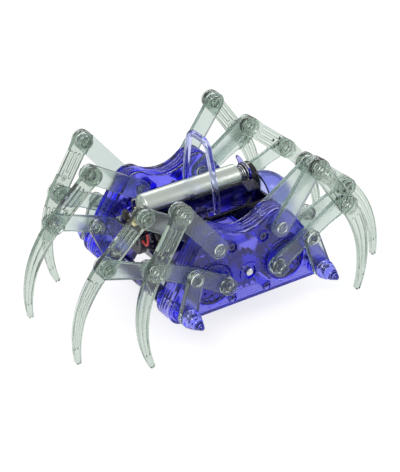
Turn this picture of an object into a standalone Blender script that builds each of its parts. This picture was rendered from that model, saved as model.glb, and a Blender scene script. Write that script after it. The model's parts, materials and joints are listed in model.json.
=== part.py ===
"""Eight-legged walking robot, with a crank and a walking linkage behind every leg.

Lengths are in metres. +X is the way it walks, +Z is up, and the origin is on the ground under its
middle. Two flat side casings stand at y = +/-CASING_Y. Each holds two crank wheels, and each crank
wheel drives one leg outside its casing and one inside it, half a turn apart.
"""

import math

import bmesh
import bpy
from mathutils import Matrix, Vector

MM = 0.001

# Linkage of one leg, in its own plane: x runs outward from the drive axle and z up from it.
CRANK = Vector((16.55, 0.0)) * MM  # centre of the crank wheel
UPPER_PIVOT = Vector((14.2, 15.8)) * MM  # fixed pivot of the upper rocker
LOWER_PIVOT = Vector((30.8, -6.6)) * MM  # fixed pivot of the lower rocker
THROW = 4.7 * MM  # crank centre to crank pin
ROD_NEAR = 17.0 * MM  # crank pin to the lower rocker's pin
ROD_FAR = 19.3 * MM  # lower rocker's pin to the leg's pin
ROD_BEND = math.radians(-3.0)
LOWER_ROCKER = 15.4 * MM
UPPER_ROCKER = 26.9 * MM
LEG_UPPER = 23.8 * MM  # upper rocker's pin to the rod's pin
CLAW = 39.3 * MM  # rod's pin to the middle of the rounded tip
CLAW_TURN = math.radians(26.5)  # the claw's chord turns this far from the upper leg
TIP_R = 1.2 * MM
REST_PHASE = math.radians(187.67)  # outer crank pin at rest, where all eight tips reach the ground

# Layers, measured from a casing's middle plane. Legs inside the casing mirror those outside it.
CASING_Y = 29.5 * MM
GAP = 0.3 * MM
PLATE_IN, PLATE_OUT = 3.0 * MM, 5.0 * MM
ROD_IN, ROD_OUT = 5.5 * MM, 7.7 * MM
LEG_IN, LEG_OUT = 8.1 * MM, 10.5 * MM
CAP_OUT = 11.4 * MM

# Pins and bosses
PIN_R = 1.4 * MM
PIVOT_HOLE_R = 1.7 * MM
OPEN_HOLE_R = 2.15 * MM  # where a loop closes, with room for the linkage's curved path
BOSS_R = 4.1 * MM
LOWER_BOSS_R = 3.3 * MM
CRANK_PIN_R = 1.6 * MM
AXLE_R = 1.5 * MM
SIDE_AXLE_R = 1.6 * MM
RIVET_R = 2.6 * MM

# Casing outline
UPPER_LOBE_R = 7.0 * MM
LOWER_LOBE_R = 5.5 * MM
SHOULDER = Vector((28.0, 8.6)) * MM
LIP_ANGLE = math.radians(38.0)  # slope of the hollowed top edge where it meets the lobe
WALL = 1.3 * MM
WINDOW_R = 8.8 * MM
DISC_R = 8.5 * MM
LUG_LOW, LUG_TOP = -9.6 * MM, 13.4 * MM  # outer ends of the two lugs on an inner frame

# Gears
CRANK_TEETH, AXLE_TEETH, WHEEL_TEETH = 24, 18, 15
GEAR_MODULE = 2 * CRANK.x / (CRANK_TEETH + AXLE_TEETH)
WORM_MODULE = 0.8 * MM
GEAR_HALF_WIDTH = 2.2 * MM
WORM_R = 2.6 * MM

# Middle body, with heights measured from the drive axle
TUB_X, TUB_Y, TUB_WALL = 26.0 * MM, 12.4 * MM, 1.5 * MM
TUB_FLOOR, TUB_BELLY, TUB_TOP = 0.3 * MM, -8.7 * MM, 14.8 * MM
BELLY_X = 9.5 * MM
SLEEVE_R, SLEEVE_Y = 3.3 * MM, 18.6 * MM
LUG_X = 6.5 * MM
BATTERY_Z = 21.8 * MM
BATTERY_R, BATTERY_L, BATTERY_X0 = 5.25 * MM, 44.5 * MM, -27.7 * MM
NUB_R, NUB_L = 2.1 * MM, 1.2 * MM
HOLDER_X0, HOLDER_X1, HOLDER_END = -27.4 * MM, 21.0 * MM, 24.2 * MM
HOLDER_WALL, HOLDER_RIM = 1.3 * MM, 0.9 * MM
CHEEK_X0, CHEEK_X1, CHEEK_Y, CHEEK_POST = -8.6 * MM, 23.0 * MM, 7.6 * MM, 2.8 * MM
END_R, END_TOP = 7.0 * MM, 4.2 * MM  # rounded block behind the spring
SHELF_X0, SHELF_Y, SHELF = -34.0 * MM, 9.0 * MM, 1.3 * MM
CONTACT_T, CONTACT_Y, CONTACT_FOOT = 0.4 * MM, 2.6 * MM, 4.2 * MM
HOOD_X, HOOD_Z = 27.0 * MM, 7.0 * MM  # centre of the rounded front hood
HOOD_LONG, HOOD_WIDE, HOOD_HIGH, HOOD_WALL = 15.0 * MM, 11.0 * MM, 13.0 * MM, 1.3 * MM
MOTOR_Y = 2.8 * MM
MOTOR_W, MOTOR_H = 15.4 * MM, 12.0 * MM
MOTOR_X0, MOTOR_CAP_X, MOTOR_X1 = -30.6 * MM, -27.6 * MM, -9.3 * MM
WORM_Z = WHEEL_TEETH * WORM_MODULE / 2 + WORM_R
BAIL_X, BAIL_R, BAIL_TOP = 0.6 * MM, 1.35 * MM, 45.6 * MM
BAIL_TOP_Y, BAIL_FOOT_Y, BAIL_KNEE, BAIL_BEND_R = 7.4 * MM, 11.5 * MM, 24.0 * MM, 4.2 * MM
HORN_L, HORN_LIFT, HORN_R, HORN_TIP_R = 9.1 * MM, 0.3 * MM, 4.1 * MM, 1.3 * MM
SWITCH_X, SWITCH_Y = -31.4 * MM, 4.6 * MM
AXLE_HALF, SIDE_AXLE_HALF = 35.2 * MM, 43.0 * MM

SIDES = {"right": -1, "left": 1}
ENDS = {"front": 1, "rear": -1}

COBALT = (0.10, 0.09, 0.62)
PALE_BLUE = (0.42, 0.48, 0.88)
SMOKE = (0.55, 0.64, 0.58)
DARK_BLUE = (0.05, 0.03, 0.25)
STEEL = (0.62, 0.63, 0.64)
BRASS = (0.72, 0.60, 0.32)
JACKET = (0.72, 0.74, 0.70)
CREAM = (0.75, 0.72, 0.62)
BLACK = (0.03, 0.03, 0.03)

# Sides of round shapes
PIN_STEPS, HOLE_STEPS, BOSS_STEPS, DISC_STEPS, CAP_STEPS = 8, 10, 12, 20, 4


# ---------------------------------------------------------------- linkage geometry

def turned_by(vector, angle):
    """A 2-D vector turned anticlockwise."""
    return Matrix.Rotation(angle, 2) @ vector


def towards(angle, length=1.0):
    return Vector((math.cos(angle), math.sin(angle))) * length


def heading(start, end):
    return math.atan2(end.y - start.y, end.x - start.x)


def meeting_point(p, p_length, q, q_length, side):
    """Where two links from p and q meet, on the left (+1) or right (-1) of the line from p to q."""
    span = (q - p).length
    along = (span**2 + p_length**2 - q_length**2) / (2 * span)
    across = math.sqrt(p_length**2 - along**2)
    return p + turned_by(Vector((along, side * across)), heading(p, q))


def linkage(phase):
    """The pivots of one leg when its crank pin stands at this angle."""
    pin = CRANK + towards(phase, THROW)
    knee = meeting_point(pin, ROD_NEAR, LOWER_PIVOT, LOWER_ROCKER, 1)
    ankle = knee + towards(heading(pin, knee) + ROD_BEND, ROD_FAR)
    shoulder = meeting_point(ankle, LEG_UPPER, UPPER_PIVOT, UPPER_ROCKER, -1)
    tip = ankle + towards(heading(shoulder, ankle) - CLAW_TURN, CLAW)
    return {"pin": pin, "knee": knee, "ankle": ankle, "shoulder": shoulder, "tip": tip}


AXLE_Z = TIP_R - linkage(REST_PHASE)["tip"].y


# ---------------------------------------------------------------- outlines

def arc(centre, radius, start, end, steps):
    """Points (x, z) on an arc, ends included."""
    turn = (end - start) / steps
    return [Vector(centre) + towards(start + i * turn, radius) for i in range(steps + 1)]


def circle(centre, radius, steps=HOLE_STEPS):
    return arc(centre, radius, 0, 2 * math.pi, steps)[:-1]


def strap(path, half_widths, cap_steps=CAP_STEPS):
    """The outline of a bar with round ends that follows a path, as wide as stated at each point."""
    left, right = [], []
    for i, point in enumerate(path):
        before, after = path[max(i - 1, 0)], path[min(i + 1, len(path) - 1)]
        side = towards(heading(before, after) + math.pi / 2, half_widths[i])
        left.append(point + side)
        right.append(point - side)
    first, last = heading(path[1], path[0]), heading(path[-2], path[-1])
    quarter = math.pi / 2
    near_cap = arc(path[0], half_widths[0], first - quarter, first + quarter, cap_steps)
    far_cap = arc(path[-1], half_widths[-1], last - quarter, last + quarter, cap_steps)
    return near_cap + right[1:-1] + far_cap + left[-2:0:-1]


def tangent_angle(point, centre, radius, side):
    """The direction from a circle's centre to where a line through the point touches it."""
    away = Vector(point) - Vector(centre)
    return math.atan2(away.y, away.x) + side * math.acos(radius / away.length)


def casing_outline(inset=0.0):
    """Side view of a casing: two upper lobes with a hollow between them, and two lower lobes."""
    upper_r, lower_r = UPPER_LOBE_R - inset, LOWER_LOBE_R - inset
    corner = SHOULDER - towards(math.radians(33), inset)
    lobe_start = math.pi / 2 + LIP_ANGLE
    lobe_end = tangent_angle(corner, UPPER_PIVOT, upper_r, 1)
    foot_start = tangent_angle(corner, LOWER_PIVOT, lower_r, -1)
    upper = arc(UPPER_PIVOT, upper_r, lobe_start, lobe_end, 6)
    lower = arc(LOWER_PIVOT, lower_r, foot_start, -math.pi / 2, 6)
    hollow_r = upper[0].x / math.sin(LIP_ANGLE)
    hollow_centre = Vector((0, upper[0].y + hollow_r * math.cos(LIP_ANGLE)))
    down = -math.pi / 2
    hollow = arc(hollow_centre, hollow_r, down, down + LIP_ANGLE, 4)[:-1]
    half = hollow + upper + [corner] + lower
    return half + [Vector((-p.x, p.y)) for p in half[:0:-1]]


def gear_outline(teeth, module, centre, first_tooth):
    """Slim trapezoid teeth, with room between meshing flanks."""
    pitch_r = teeth * module / 2
    step = 2 * math.pi / teeth
    points = []
    for i in range(teeth):
        middle = first_tooth + i * step
        for share, radius in ((-0.33, pitch_r - 1.1 * module), (-0.10, pitch_r + 0.75 * module),
                              (0.10, pitch_r + 0.75 * module), (0.33, pitch_r - 1.1 * module)):
            points.append(Vector(centre) + towards(middle + share * step, radius))
    return points


# ---------------------------------------------------------------- solids

def object_from(bm, name):
    """An object of a finished bmesh, with flat areas made of as few faces as they need."""
    bmesh.ops.dissolve_limit(bm, angle_limit=math.radians(0.05), verts=bm.verts, edges=bm.edges)
    bmesh.ops.recalc_face_normals(bm, faces=bm.faces)
    mesh = bpy.data.meshes.new(name)
    bm.to_mesh(mesh)
    bm.free()
    mesh.shade_smooth()
    mesh.set_sharp_from_angle(angle=math.radians(35))
    obj = bpy.data.objects.new(name, mesh)
    bpy.context.scene.collection.objects.link(obj)
    return obj


def prism(name, outline, start, end, holes=(), across="y"):
    """A plate between two planes. Its outline is (x, z) across y, or (y, z) across x."""
    bm = bmesh.new()
    edges = []
    for loop in (outline, *holes):
        if across == "y":
            verts = [bm.verts.new((p[0], start, p[1])) for p in loop]
        else:
            verts = [bm.verts.new((start, p[0], p[1])) for p in loop]
        edges += [bm.edges.new(pair) for pair in zip(verts, verts[1:] + verts[:1])]
    filled = bmesh.ops.triangle_fill(bm, use_beauty=True, edges=edges)["geom"]
    faces = [item for item in filled if isinstance(item, bmesh.types.BMFace)]
    grown = bmesh.ops.extrude_face_region(bm, geom=faces, use_keep_orig=True)["geom"]
    verts = [item for item in grown if isinstance(item, bmesh.types.BMVert)]
    shift = (0, end - start, 0) if across == "y" else (end - start, 0, 0)
    bmesh.ops.translate(bm, vec=shift, verts=verts)
    return object_from(bm, name)


def block(name, low, high):
    (x0, y0, z0), (x1, y1, z1) = low, high
    return prism(name, [(x0, z0), (x1, z0), (x1, z1), (x0, z1)], y0, y1)


def lathe(name, rings, steps=BOSS_STEPS, along="y"):
    """A closed skin over circles, each given as (distance along the axis, radius, shift x, shift z)."""
    bm = bmesh.new()
    loops = []
    for ring in rings:
        distance, radius, shift_x, shift_z = (*ring, 0.0, 0.0)[:4]
        loop = []
        for i in range(steps):
            a, b = towards(2 * math.pi * i / steps, radius)
            place = (a + shift_x, distance, b + shift_z) if along == "y" else (distance, a, b)
            loop.append(bm.verts.new(place))
        loops.append(loop)
    for one, two in zip(loops, loops[1:]):
        for i in range(steps):
            j = (i + 1) % steps
            bm.faces.new((one[i], one[j], two[j], two[i]))
    bm.faces.new(loops[0])
    bm.faces.new(loops[-1])
    return object_from(bm, name)


def pin(name, centre, radius, start, end, steps=PIN_STEPS):
    x, z = centre
    return lathe(name, [(start, radius, x, z), (end, radius, x, z)], steps)


def combine(base, tools, operation):
    """The base with the tools added or cut away, as one plain mesh. The tools are used up."""
    for tool in tools:
        step = base.modifiers.new(operation.lower(), "BOOLEAN")
        step.operation = operation
        step.solver = "EXACT"
        step.object = tool
    shape = bpy.data.meshes.new_from_object(base.evaluated_get(bpy.context.evaluated_depsgraph_get()))
    for spent in [base] + tools:
        bpy.data.meshes.remove(spent.data)
    bm = bmesh.new()
    bm.from_mesh(shape)
    bpy.data.meshes.remove(shape)
    return object_from(bm, "solid")


def material(name, colour, roughness, metallic=0.0, transmission=0.0):
    mat = bpy.data.materials.new(name)
    mat.use_nodes = True
    shader = mat.node_tree.nodes["Principled BSDF"]
    shader.inputs["Base Color"].default_value = (*colour, 1.0)
    shader.inputs["Roughness"].default_value = roughness
    shader.inputs["Metallic"].default_value = metallic
    shader.inputs["Transmission Weight"].default_value = transmission
    return mat


def finish(obj, name, look, parent=None, location=(0, 0, 0), tilt=0.0):
    """Names an object, gives it a material and places it, with its local x lifted by the tilt."""
    obj.name = name
    obj.data.materials.clear()
    obj.data.materials.append(material(name, *look))
    obj.parent = parent
    obj.location = location
    obj.rotation_euler = (0, -tilt, 0)
    return obj


def clear_plastic(colour, roughness=0.12):
    return colour, roughness, 0.0, 0.85


# ---------------------------------------------------------------- leg linkage parts

def crank_wheel(side):
    """A gear between two discs, with a crank pin on each, half a turn apart.

    side is +1 where the leg that leads, the outer one, is towards local +y.
    """
    tooth = math.pi / CRANK_TEETH + math.pi  # a gap faces the drive axle
    gear = prism("gear", gear_outline(CRANK_TEETH, GEAR_MODULE, (0, 0), tooth), -2.5 * MM, 2.5 * MM)
    discs = [lathe("disc", [(s * 2.4 * MM, DISC_R), (s * PLATE_OUT, DISC_R)], DISC_STEPS) for s in (-1, 1)]
    pins = [
        pin("pin", towards(REST_PHASE, THROW), CRANK_PIN_R, side * 4.9 * MM, side * 8.0 * MM),
        pin("pin", towards(REST_PHASE + math.pi, THROW), CRANK_PIN_R, -side * 4.9 * MM, -side * 8.0 * MM),
    ]
    return combine(gear, discs + pins, "UNION")


def rod(side):
    """Runs on the crank pin, carries the leg at its far end and is steered by the lower rocker."""
    start, knee = Vector((0, 0)), Vector((ROD_NEAR, 0))
    ankle = knee + towards(ROD_BEND, ROD_FAR)
    widths = (3.6 * MM, 3.3 * MM, 3.9 * MM)
    bar = prism("rod", strap([start, knee, ankle], widths), side * ROD_IN, side * ROD_OUT,
                [circle(ankle, PIVOT_HOLE_R)])
    added = [
        pin("eye", start, 3.6 * MM, side * (ROD_OUT - 0.1 * MM), side * 10.0 * MM, BOSS_STEPS),
        pin("pin", knee, PIN_R, side * (ROD_OUT - 0.1 * MM), side * (LEG_OUT + GAP)),
        pin("cap", knee, 3.0 * MM, side * (LEG_OUT + GAP - 0.01 * MM), side * CAP_OUT, HOLE_STEPS),
    ]
    bar = combine(bar, added, "UNION")
    bore = pin("bore", start, CRANK_PIN_R + GAP, side * 5.0 * MM, side * 9.0 * MM, HOLE_STEPS)
    return combine(bar, [bore], "DIFFERENCE")


def leg(side):
    """Upper leg and curved claw in one piece, riveted to the upper rocker and to the rod."""
    shoulder, ankle = Vector((-LEG_UPPER, 0)), Vector((0, 0))
    radius = CLAW / (2 * math.sin(CLAW_TURN))
    steps = 8
    claw = [
        Vector((0, -radius)) + towards(math.pi / 2 - 2 * CLAW_TURN * i / steps, radius)
        for i in range(1, steps + 1)
    ]
    path = [shoulder, ankle] + claw
    widths = [3.8 * MM, 3.7 * MM]
    widths += [TIP_R + (3.5 * MM - TIP_R) * (1 - i / steps) ** 0.9 for i in range(1, steps + 1)]
    plate = prism("leg", strap(path, widths), side * LEG_IN, side * LEG_OUT)
    added = []
    for place in (shoulder, ankle):
        added += [
            pin("boss", place, BOSS_R, side * (LEG_IN + 0.05 * MM), side * CAP_OUT, BOSS_STEPS),
            pin("pin", place, PIN_R, side * (LEG_IN + 0.1 * MM), side * (ROD_IN - GAP)),
            pin("head", place, RIVET_R, side * (ROD_IN - GAP + 0.01 * MM), side * 4.4 * MM),
        ]
    return combine(plate, added, "UNION")


def upper_rocker(side):
    """Swings on the casing's upper lobe and holds the leg's upper end."""
    start, end = Vector((0, 0)), Vector((UPPER_ROCKER, 0))
    plate = prism("rocker", strap([start, end], (4.0 * MM, 3.9 * MM)), side * ROD_IN, side * ROD_OUT,
                  [circle(end, OPEN_HOLE_R)])
    added = [
        pin("pin", start, PIN_R, side * (ROD_IN + 0.1 * MM), side * 2.7 * MM),
        pin("cap", start, 3.1 * MM, side * (ROD_OUT - 0.1 * MM), side * (ROD_OUT + 0.8 * MM),
            BOSS_STEPS),
    ]
    return combine(plate, added, "UNION")


def lower_rocker(side):
    """Swings on the side axle and steers the rod."""
    start, end = Vector((0, 0)), Vector((LOWER_ROCKER, 0))
    holes = [circle(start, SIDE_AXLE_R + GAP), circle(end, OPEN_HOLE_R)]
    return prism("rocker", strap([start, end], (3.8 * MM, LOWER_BOSS_R)), side * LEG_IN, side * LEG_OUT,
                 holes)


def build_corner(side_name, end_name):
    """The crank wheel and the two legs at one corner, in a frame whose x runs outward."""
    side, end = SIDES[side_name], ENDS[end_name]
    corner = bpy.data.objects.new(f"{side_name}_{end_name}_corner", None)
    bpy.context.scene.collection.objects.link(corner)
    corner.location = (0, side * CASING_Y, AXLE_Z)
    corner.rotation_euler = (0, 0, 0 if end > 0 else math.pi)
    outward = side * end  # local y direction that leads away from the middle of the robot
    finish(crank_wheel(outward), f"crank_wheel_{side_name}_{end_name}", clear_plastic(COBALT),
           corner, (CRANK.x, 0, CRANK.y))
    for row, turn in (("outer", 0.0), ("inner", math.pi)):
        facing = outward if row == "outer" else -outward
        place = linkage(REST_PHASE + turn)
        tag = f"{side_name}_{end_name}_{row}"
        members = (
            ("rod", rod, place["pin"], place["knee"]),
            ("leg", leg, place["ankle"], place["ankle"] * 2 - place["shoulder"]),
            ("upper_rocker", upper_rocker, UPPER_PIVOT, place["shoulder"]),
            ("lower_rocker", lower_rocker, LOWER_PIVOT, place["knee"]),
        )
        for name, make, pivot, aim in members:
            finish(make(facing), f"{name}_{tag}", clear_plastic(SMOKE), corner,
                   (pivot.x, 0, pivot.y), heading(pivot, aim))


# ---------------------------------------------------------------- casings

def plate_holes():
    """Crank windows, drive axle and rocker pins."""
    holes = [circle((0, 0), AXLE_R + GAP)]
    for end in (-1, 1):
        holes += [
            circle((end * CRANK.x, CRANK.y), WINDOW_R, DISC_STEPS),
            circle((end * UPPER_PIVOT.x, UPPER_PIVOT.y), PIVOT_HOLE_R),
        ]
    return holes


def with_side_axle_collars(plate, side):
    """Adds the rings that keep the lower rockers off a plate, and bores both for the side axles."""
    places = [(end * LOWER_PIVOT.x, LOWER_PIVOT.y) for end in (-1, 1)]
    collars = [pin("collar", place, 4.0 * MM, side * (PLATE_OUT - 0.1 * MM), side * (LEG_IN - GAP),
                   BOSS_STEPS) for place in places]
    bores = [pin("bore", place, SIDE_AXLE_R + GAP, 0.0, side * CAP_OUT, HOLE_STEPS) for place in places]
    return combine(combine(plate, collars, "UNION"), bores, "DIFFERENCE")


def side_cover(side):
    """The outer half of a casing: a plate with a wall round its edge."""
    shell = prism("shell", casing_outline(), side * (GAP - PLATE_IN), side * PLATE_OUT, plate_holes())
    hollow = prism("hollow", casing_outline(WALL), -side * PLATE_IN, side * PLATE_IN)
    return with_side_axle_collars(combine(shell, [hollow], "DIFFERENCE"), side)


def inner_frame(side):
    """The inner half of a casing, with two lugs that reach to the middle body."""
    plate = prism("plate", casing_outline(), -side * PLATE_OUT, -side * PLATE_IN, plate_holes())
    y0, y1 = sorted((-side * (CASING_Y - TUB_Y - GAP), -side * (PLATE_OUT - 0.1 * MM)))
    lugs = [block("lug", (-LUG_X, y0, low), (LUG_X, y1, high))
            for low, high in ((LUG_LOW, -4.5 * MM), (8.0 * MM, LUG_TOP))]
    return with_side_axle_collars(combine(plate, lugs, "UNION"), -side)


# ---------------------------------------------------------------- drive

def drive_axle():
    return lathe("axle", [(-AXLE_HALF, AXLE_R), (AXLE_HALF, AXLE_R)], HOLE_STEPS)


def axle_gear():
    outline = gear_outline(AXLE_TEETH, GEAR_MODULE, (0, 0), 0.0)
    return prism("gear", outline, -GEAR_HALF_WIDTH, GEAR_HALF_WIDTH, [circle((0, 0), AXLE_R + GAP)])


def worm_wheel():
    outline = gear_outline(WHEEL_TEETH, WORM_MODULE, (0, 0), math.pi / 2)
    return prism("wheel", outline, -1.2 * MM, 1.2 * MM, [circle((0, 0), AXLE_R + GAP)])


def worm_shaft():
    """A motor shaft with a one-start worm. A thread groove faces the wheel's top tooth."""
    lead = math.pi * WORM_MODULE
    steps, slices_per_turn, turns = 10, 8, 3
    root, crest = WORM_R - 0.85 * MM, WORM_R + 0.5 * MM
    bm = bmesh.new()
    loops = []
    shaft_x = (-9.0 * MM, -turns / 2 * lead)
    for x in shaft_x:
        loops.append([(x, *towards(2 * math.pi * i / steps, 1.0 * MM)) for i in range(steps)])
    for k in range(turns * slices_per_turn + 1):
        x = (k / slices_per_turn - turns / 2) * lead
        loop = []
        for i in range(steps):
            turn = 2 * math.pi * i / steps
            phase = (x / lead - (turn + math.pi / 2) / (2 * math.pi)) % 1.0
            height = max(0.0, 1 - max(0.0, abs(phase - 0.5) - 0.1) / 0.2)
            loop.append((x, *towards(turn, root + height * (crest - root))))
        loops.append(loop)
    loops.append([(turns / 2 * lead, *towards(2 * math.pi * i / steps, 1.0 * MM)) for i in range(steps)])
    loops.append([(7.5 * MM, *towards(2 * math.pi * i / steps, 1.0 * MM)) for i in range(steps)])
    rings = [[bm.verts.new(place) for place in loop] for loop in loops]
    for one, two in zip(rings, rings[1:]):
        for i in range(steps):
            j = (i + 1) % steps
            bm.faces.new((one[i], one[j], two[j], two[i]))
    bm.faces.new(rings[0])
    bm.faces.new(rings[-1])
    return object_from(bm, "worm")


def motor():
    """A small can motor with flat top and bottom, and a plastic end cap with two terminals."""
    half_w, half_h = MOTOR_W / 2, MOTOR_H / 2
    side = math.asin(half_h / half_w)
    can = arc((0, 0), half_w, -side, side, 6) + arc((0, 0), half_w, math.pi - side, math.pi + side, 6)
    body = prism("can", can, MOTOR_CAP_X, MOTOR_X1, across="x")
    cap = [p * 0.97 for p in can]
    added = [
        prism("cap", cap, MOTOR_X0, MOTOR_CAP_X + 0.1 * MM, across="x"),
        lathe("boss", [(MOTOR_X0 - 1.2 * MM, 2.4 * MM), (MOTOR_X0 + 0.1 * MM, 2.4 * MM)], HOLE_STEPS, "x"),
    ]
    return combine(body, added, "UNION")


# ---------------------------------------------------------------- middle body

def dome(name, inset, floor):
    """Half an egg that stands on a flat floor, smaller all round by the inset."""
    bm = bmesh.new()
    rings = []
    for rise in (None, 0, 25, 50, 72, 86):
        turn = math.radians(rise or 0)
        z = floor if rise is None else HOOD_Z + (HOOD_HIGH - inset) * math.sin(turn)
        ring = []
        for i in range(DISC_STEPS):
            out = towards(2 * math.pi * i / DISC_STEPS, math.cos(turn))
            place = (HOOD_X + (HOOD_LONG - inset) * out.x, (HOOD_WIDE - inset) * out.y, z)
            ring.append(bm.verts.new(place))
        rings.append(ring)
    for one, two in zip(rings, rings[1:]):
        for i in range(DISC_STEPS):
            j = (i + 1) % DISC_STEPS
            bm.faces.new((one[i], one[j], two[j], two[i]))
    bm.faces.new(rings[0])
    bm.faces.new(rings[-1])
    return object_from(bm, name)


def hood():
    """A rounded shell over the front of the middle body, open towards the battery."""
    outside = dome("hood", 0.0, TUB_FLOOR)
    inside = dome("hollow", HOOD_WALL, TUB_FLOOR + TUB_WALL)
    low = (-HOOD_LONG, -TUB_Y, TUB_FLOOR - TUB_WALL)
    behind = block("behind", low, (TUB_X - 0.2 * MM, TUB_Y, 2 * TUB_TOP))
    return combine(outside, [inside, behind], "DIFFERENCE")


def tub():
    """An open trough for the motor and worm, on arms that carry the two side axles' sleeves."""
    profile = [(-TUB_X, TUB_FLOOR), (-BELLY_X, TUB_FLOOR), (-BELLY_X, TUB_BELLY), (BELLY_X, TUB_BELLY),
               (BELLY_X, TUB_FLOOR), (TUB_X, TUB_FLOOR), (TUB_X, TUB_TOP), (-TUB_X, TUB_TOP)]
    w = TUB_WALL
    hollow = [(-TUB_X - w, TUB_FLOOR + w), (-BELLY_X + w, TUB_FLOOR + w), (-BELLY_X + w, TUB_BELLY + w),
              (BELLY_X - w, TUB_BELLY + w), (BELLY_X - w, TUB_FLOOR + w), (TUB_X - w, TUB_FLOOR + w),
              (TUB_X - w, TUB_TOP + w), (-TUB_X - w, TUB_TOP + w)]
    body = prism("tub", profile, -TUB_Y, TUB_Y)
    cuts = [prism("hollow", hollow, w - TUB_Y, TUB_Y - w),
            pin("bore", (0, 0), AXLE_R + GAP, -TUB_Y - w, TUB_Y + w)]
    body = combine(body, cuts, "DIFFERENCE")
    added = []
    for end in (-1, 1):
        centre = Vector((end * LOWER_PIVOT.x, LOWER_PIVOT.y))
        added.append(pin("sleeve", centre, SLEEVE_R, -SLEEVE_Y, SLEEVE_Y, BOSS_STEPS))
        root = Vector((end * (TUB_X - 2.0 * MM), TUB_FLOOR + 0.1 * MM))
        arm = strap([centre, root], (1.6 * MM, 1.6 * MM), 6)
        for side in (-1, 1):
            y0, y1 = sorted((side * 7.0 * MM, side * (TUB_Y - 0.2 * MM)))
            added.append(prism("arm", arm, y0, y1))
    body = combine(body, added + [hood()], "UNION")
    bores = [pin("bore", (end * LOWER_PIVOT.x, LOWER_PIVOT.y), SIDE_AXLE_R + GAP, -SLEEVE_Y - w,
                 SLEEVE_Y + w, HOLE_STEPS) for end in (-1, 1)]
    return combine(body, bores, "DIFFERENCE")


def holder_section(rim, thickness):
    """Cross-section (y, z) of the battery trough, open at the top."""
    inner_r = BATTERY_R + GAP
    outer_r = inner_r + thickness
    bottom = arc((0, 0), outer_r, math.pi, 2 * math.pi, 10)
    inside = arc((0, 0), inner_r, 0, -math.pi, 10)
    return ([Vector((-outer_r, rim))] + bottom + [Vector((outer_r, rim)), Vector((inner_r, rim))]
            + inside + [Vector((-inner_r, rim))])


def battery_holder():
    """A trough under the battery between two cheeks, with an end block for the spring and a shelf."""
    trough = prism("trough", holder_section(HOLDER_RIM, HOLDER_WALL), HOLDER_X0, HOLDER_X1, across="x")
    floor = TUB_TOP + GAP - BATTERY_Z
    end_outline = arc((0, END_TOP - END_R), END_R, 0, math.pi, 10)
    end_outline += [Vector((-END_R, floor)), Vector((END_R, floor))]
    added = [prism("end", end_outline, HOLDER_X1 - 0.1 * MM, HOLDER_END, across="x")]
    for x0 in (HOLDER_X0 + 1.0 * MM, 4.0 * MM):
        low = (x0, 0.2 * MM - TUB_Y, floor)
        added.append(block("saddle", low, (x0 + 4.0 * MM, TUB_Y - 0.2 * MM, floor + 1.0 * MM)))
    for side in (-1, 1):
        y0, y1 = sorted((side * (CHEEK_Y - 1.1 * MM), side * CHEEK_Y))
        added.append(block("cheek", (CHEEK_X0, y0, floor), (CHEEK_X1, y1, HOLDER_RIM - 0.2 * MM)))
        added.append(block("post", (CHEEK_X0, y0, floor), (CHEEK_X0 + 1.6 * MM, y1, CHEEK_POST)))
    shelf_end = HOLDER_X0 + 1.5 * MM
    added.append(block("shelf", (SHELF_X0, -SHELF_Y, floor), (shelf_end, SHELF_Y, floor + SHELF)))
    return combine(trough, added, "UNION")


def battery():
    """A cylindrical cell with its raised positive end towards the rear."""
    x0, x1 = BATTERY_X0, BATTERY_X0 + BATTERY_L
    rings = [(x0, NUB_R), (x0 + NUB_L, NUB_R), (x0 + NUB_L, BATTERY_R - 0.5 * MM),
             (x0 + NUB_L + 0.5 * MM, BATTERY_R), (x1 - 0.4 * MM, BATTERY_R), (x1, BATTERY_R - 0.4 * MM)]
    return lathe("cell", rings, DISC_STEPS, "x")


def positive_contact():
    """A bent strip that stands on the shelf and touches the battery's nub."""
    foot = TUB_TOP + 2 * GAP + SHELF - BATTERY_Z
    t, top = CONTACT_T, -0.4 * MM
    x = BATTERY_X0 - GAP
    outline = [(x, foot), (x, top), (x - t, top), (x - t, foot + t), (x - CONTACT_FOOT, foot + t),
               (x - CONTACT_FOOT, foot)]
    return prism("contact", outline, -CONTACT_Y, CONTACT_Y)


def negative_plate():
    x1 = HOLDER_X1 - 0.1 * MM - GAP
    return lathe("plate", [(x1 - 0.4 * MM, 4.6 * MM), (x1, 4.6 * MM)], BOSS_STEPS, "x")


def contact_spring():
    """A conical coil, wide at the plate and narrow at the battery."""
    x1 = HOLDER_X1 - 0.8 * MM - 2 * GAP
    x0 = BATTERY_X0 + BATTERY_L + 0.3 * MM + GAP
    turns, per_turn = 3.5, 10
    count = int(turns * per_turn)
    curve = bpy.data.curves.new("spring", "CURVE")
    curve.dimensions = "3D"
    curve.bevel_depth = 0.3 * MM
    curve.bevel_resolution = 0
    curve.use_fill_caps = True
    line = curve.splines.new("POLY")
    line.points.add(count)
    for i, point in enumerate(line.points):
        share = i / count
        y, z = towards(2 * math.pi * turns * share, (1.8 + 2.2 * share) * MM)
        point.co = (x0 + (x1 - x0) * share, y, z, 1)
    tube = bpy.data.objects.new("spring", curve)
    bpy.context.scene.collection.objects.link(tube)
    mesh = bpy.data.meshes.new_from_object(tube)
    bpy.data.objects.remove(tube)
    bm = bmesh.new()
    bm.from_mesh(mesh)
    bmesh.ops.remove_doubles(bm, verts=bm.verts, dist=0.001 * MM)
    return object_from(bm, "spring")


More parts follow.
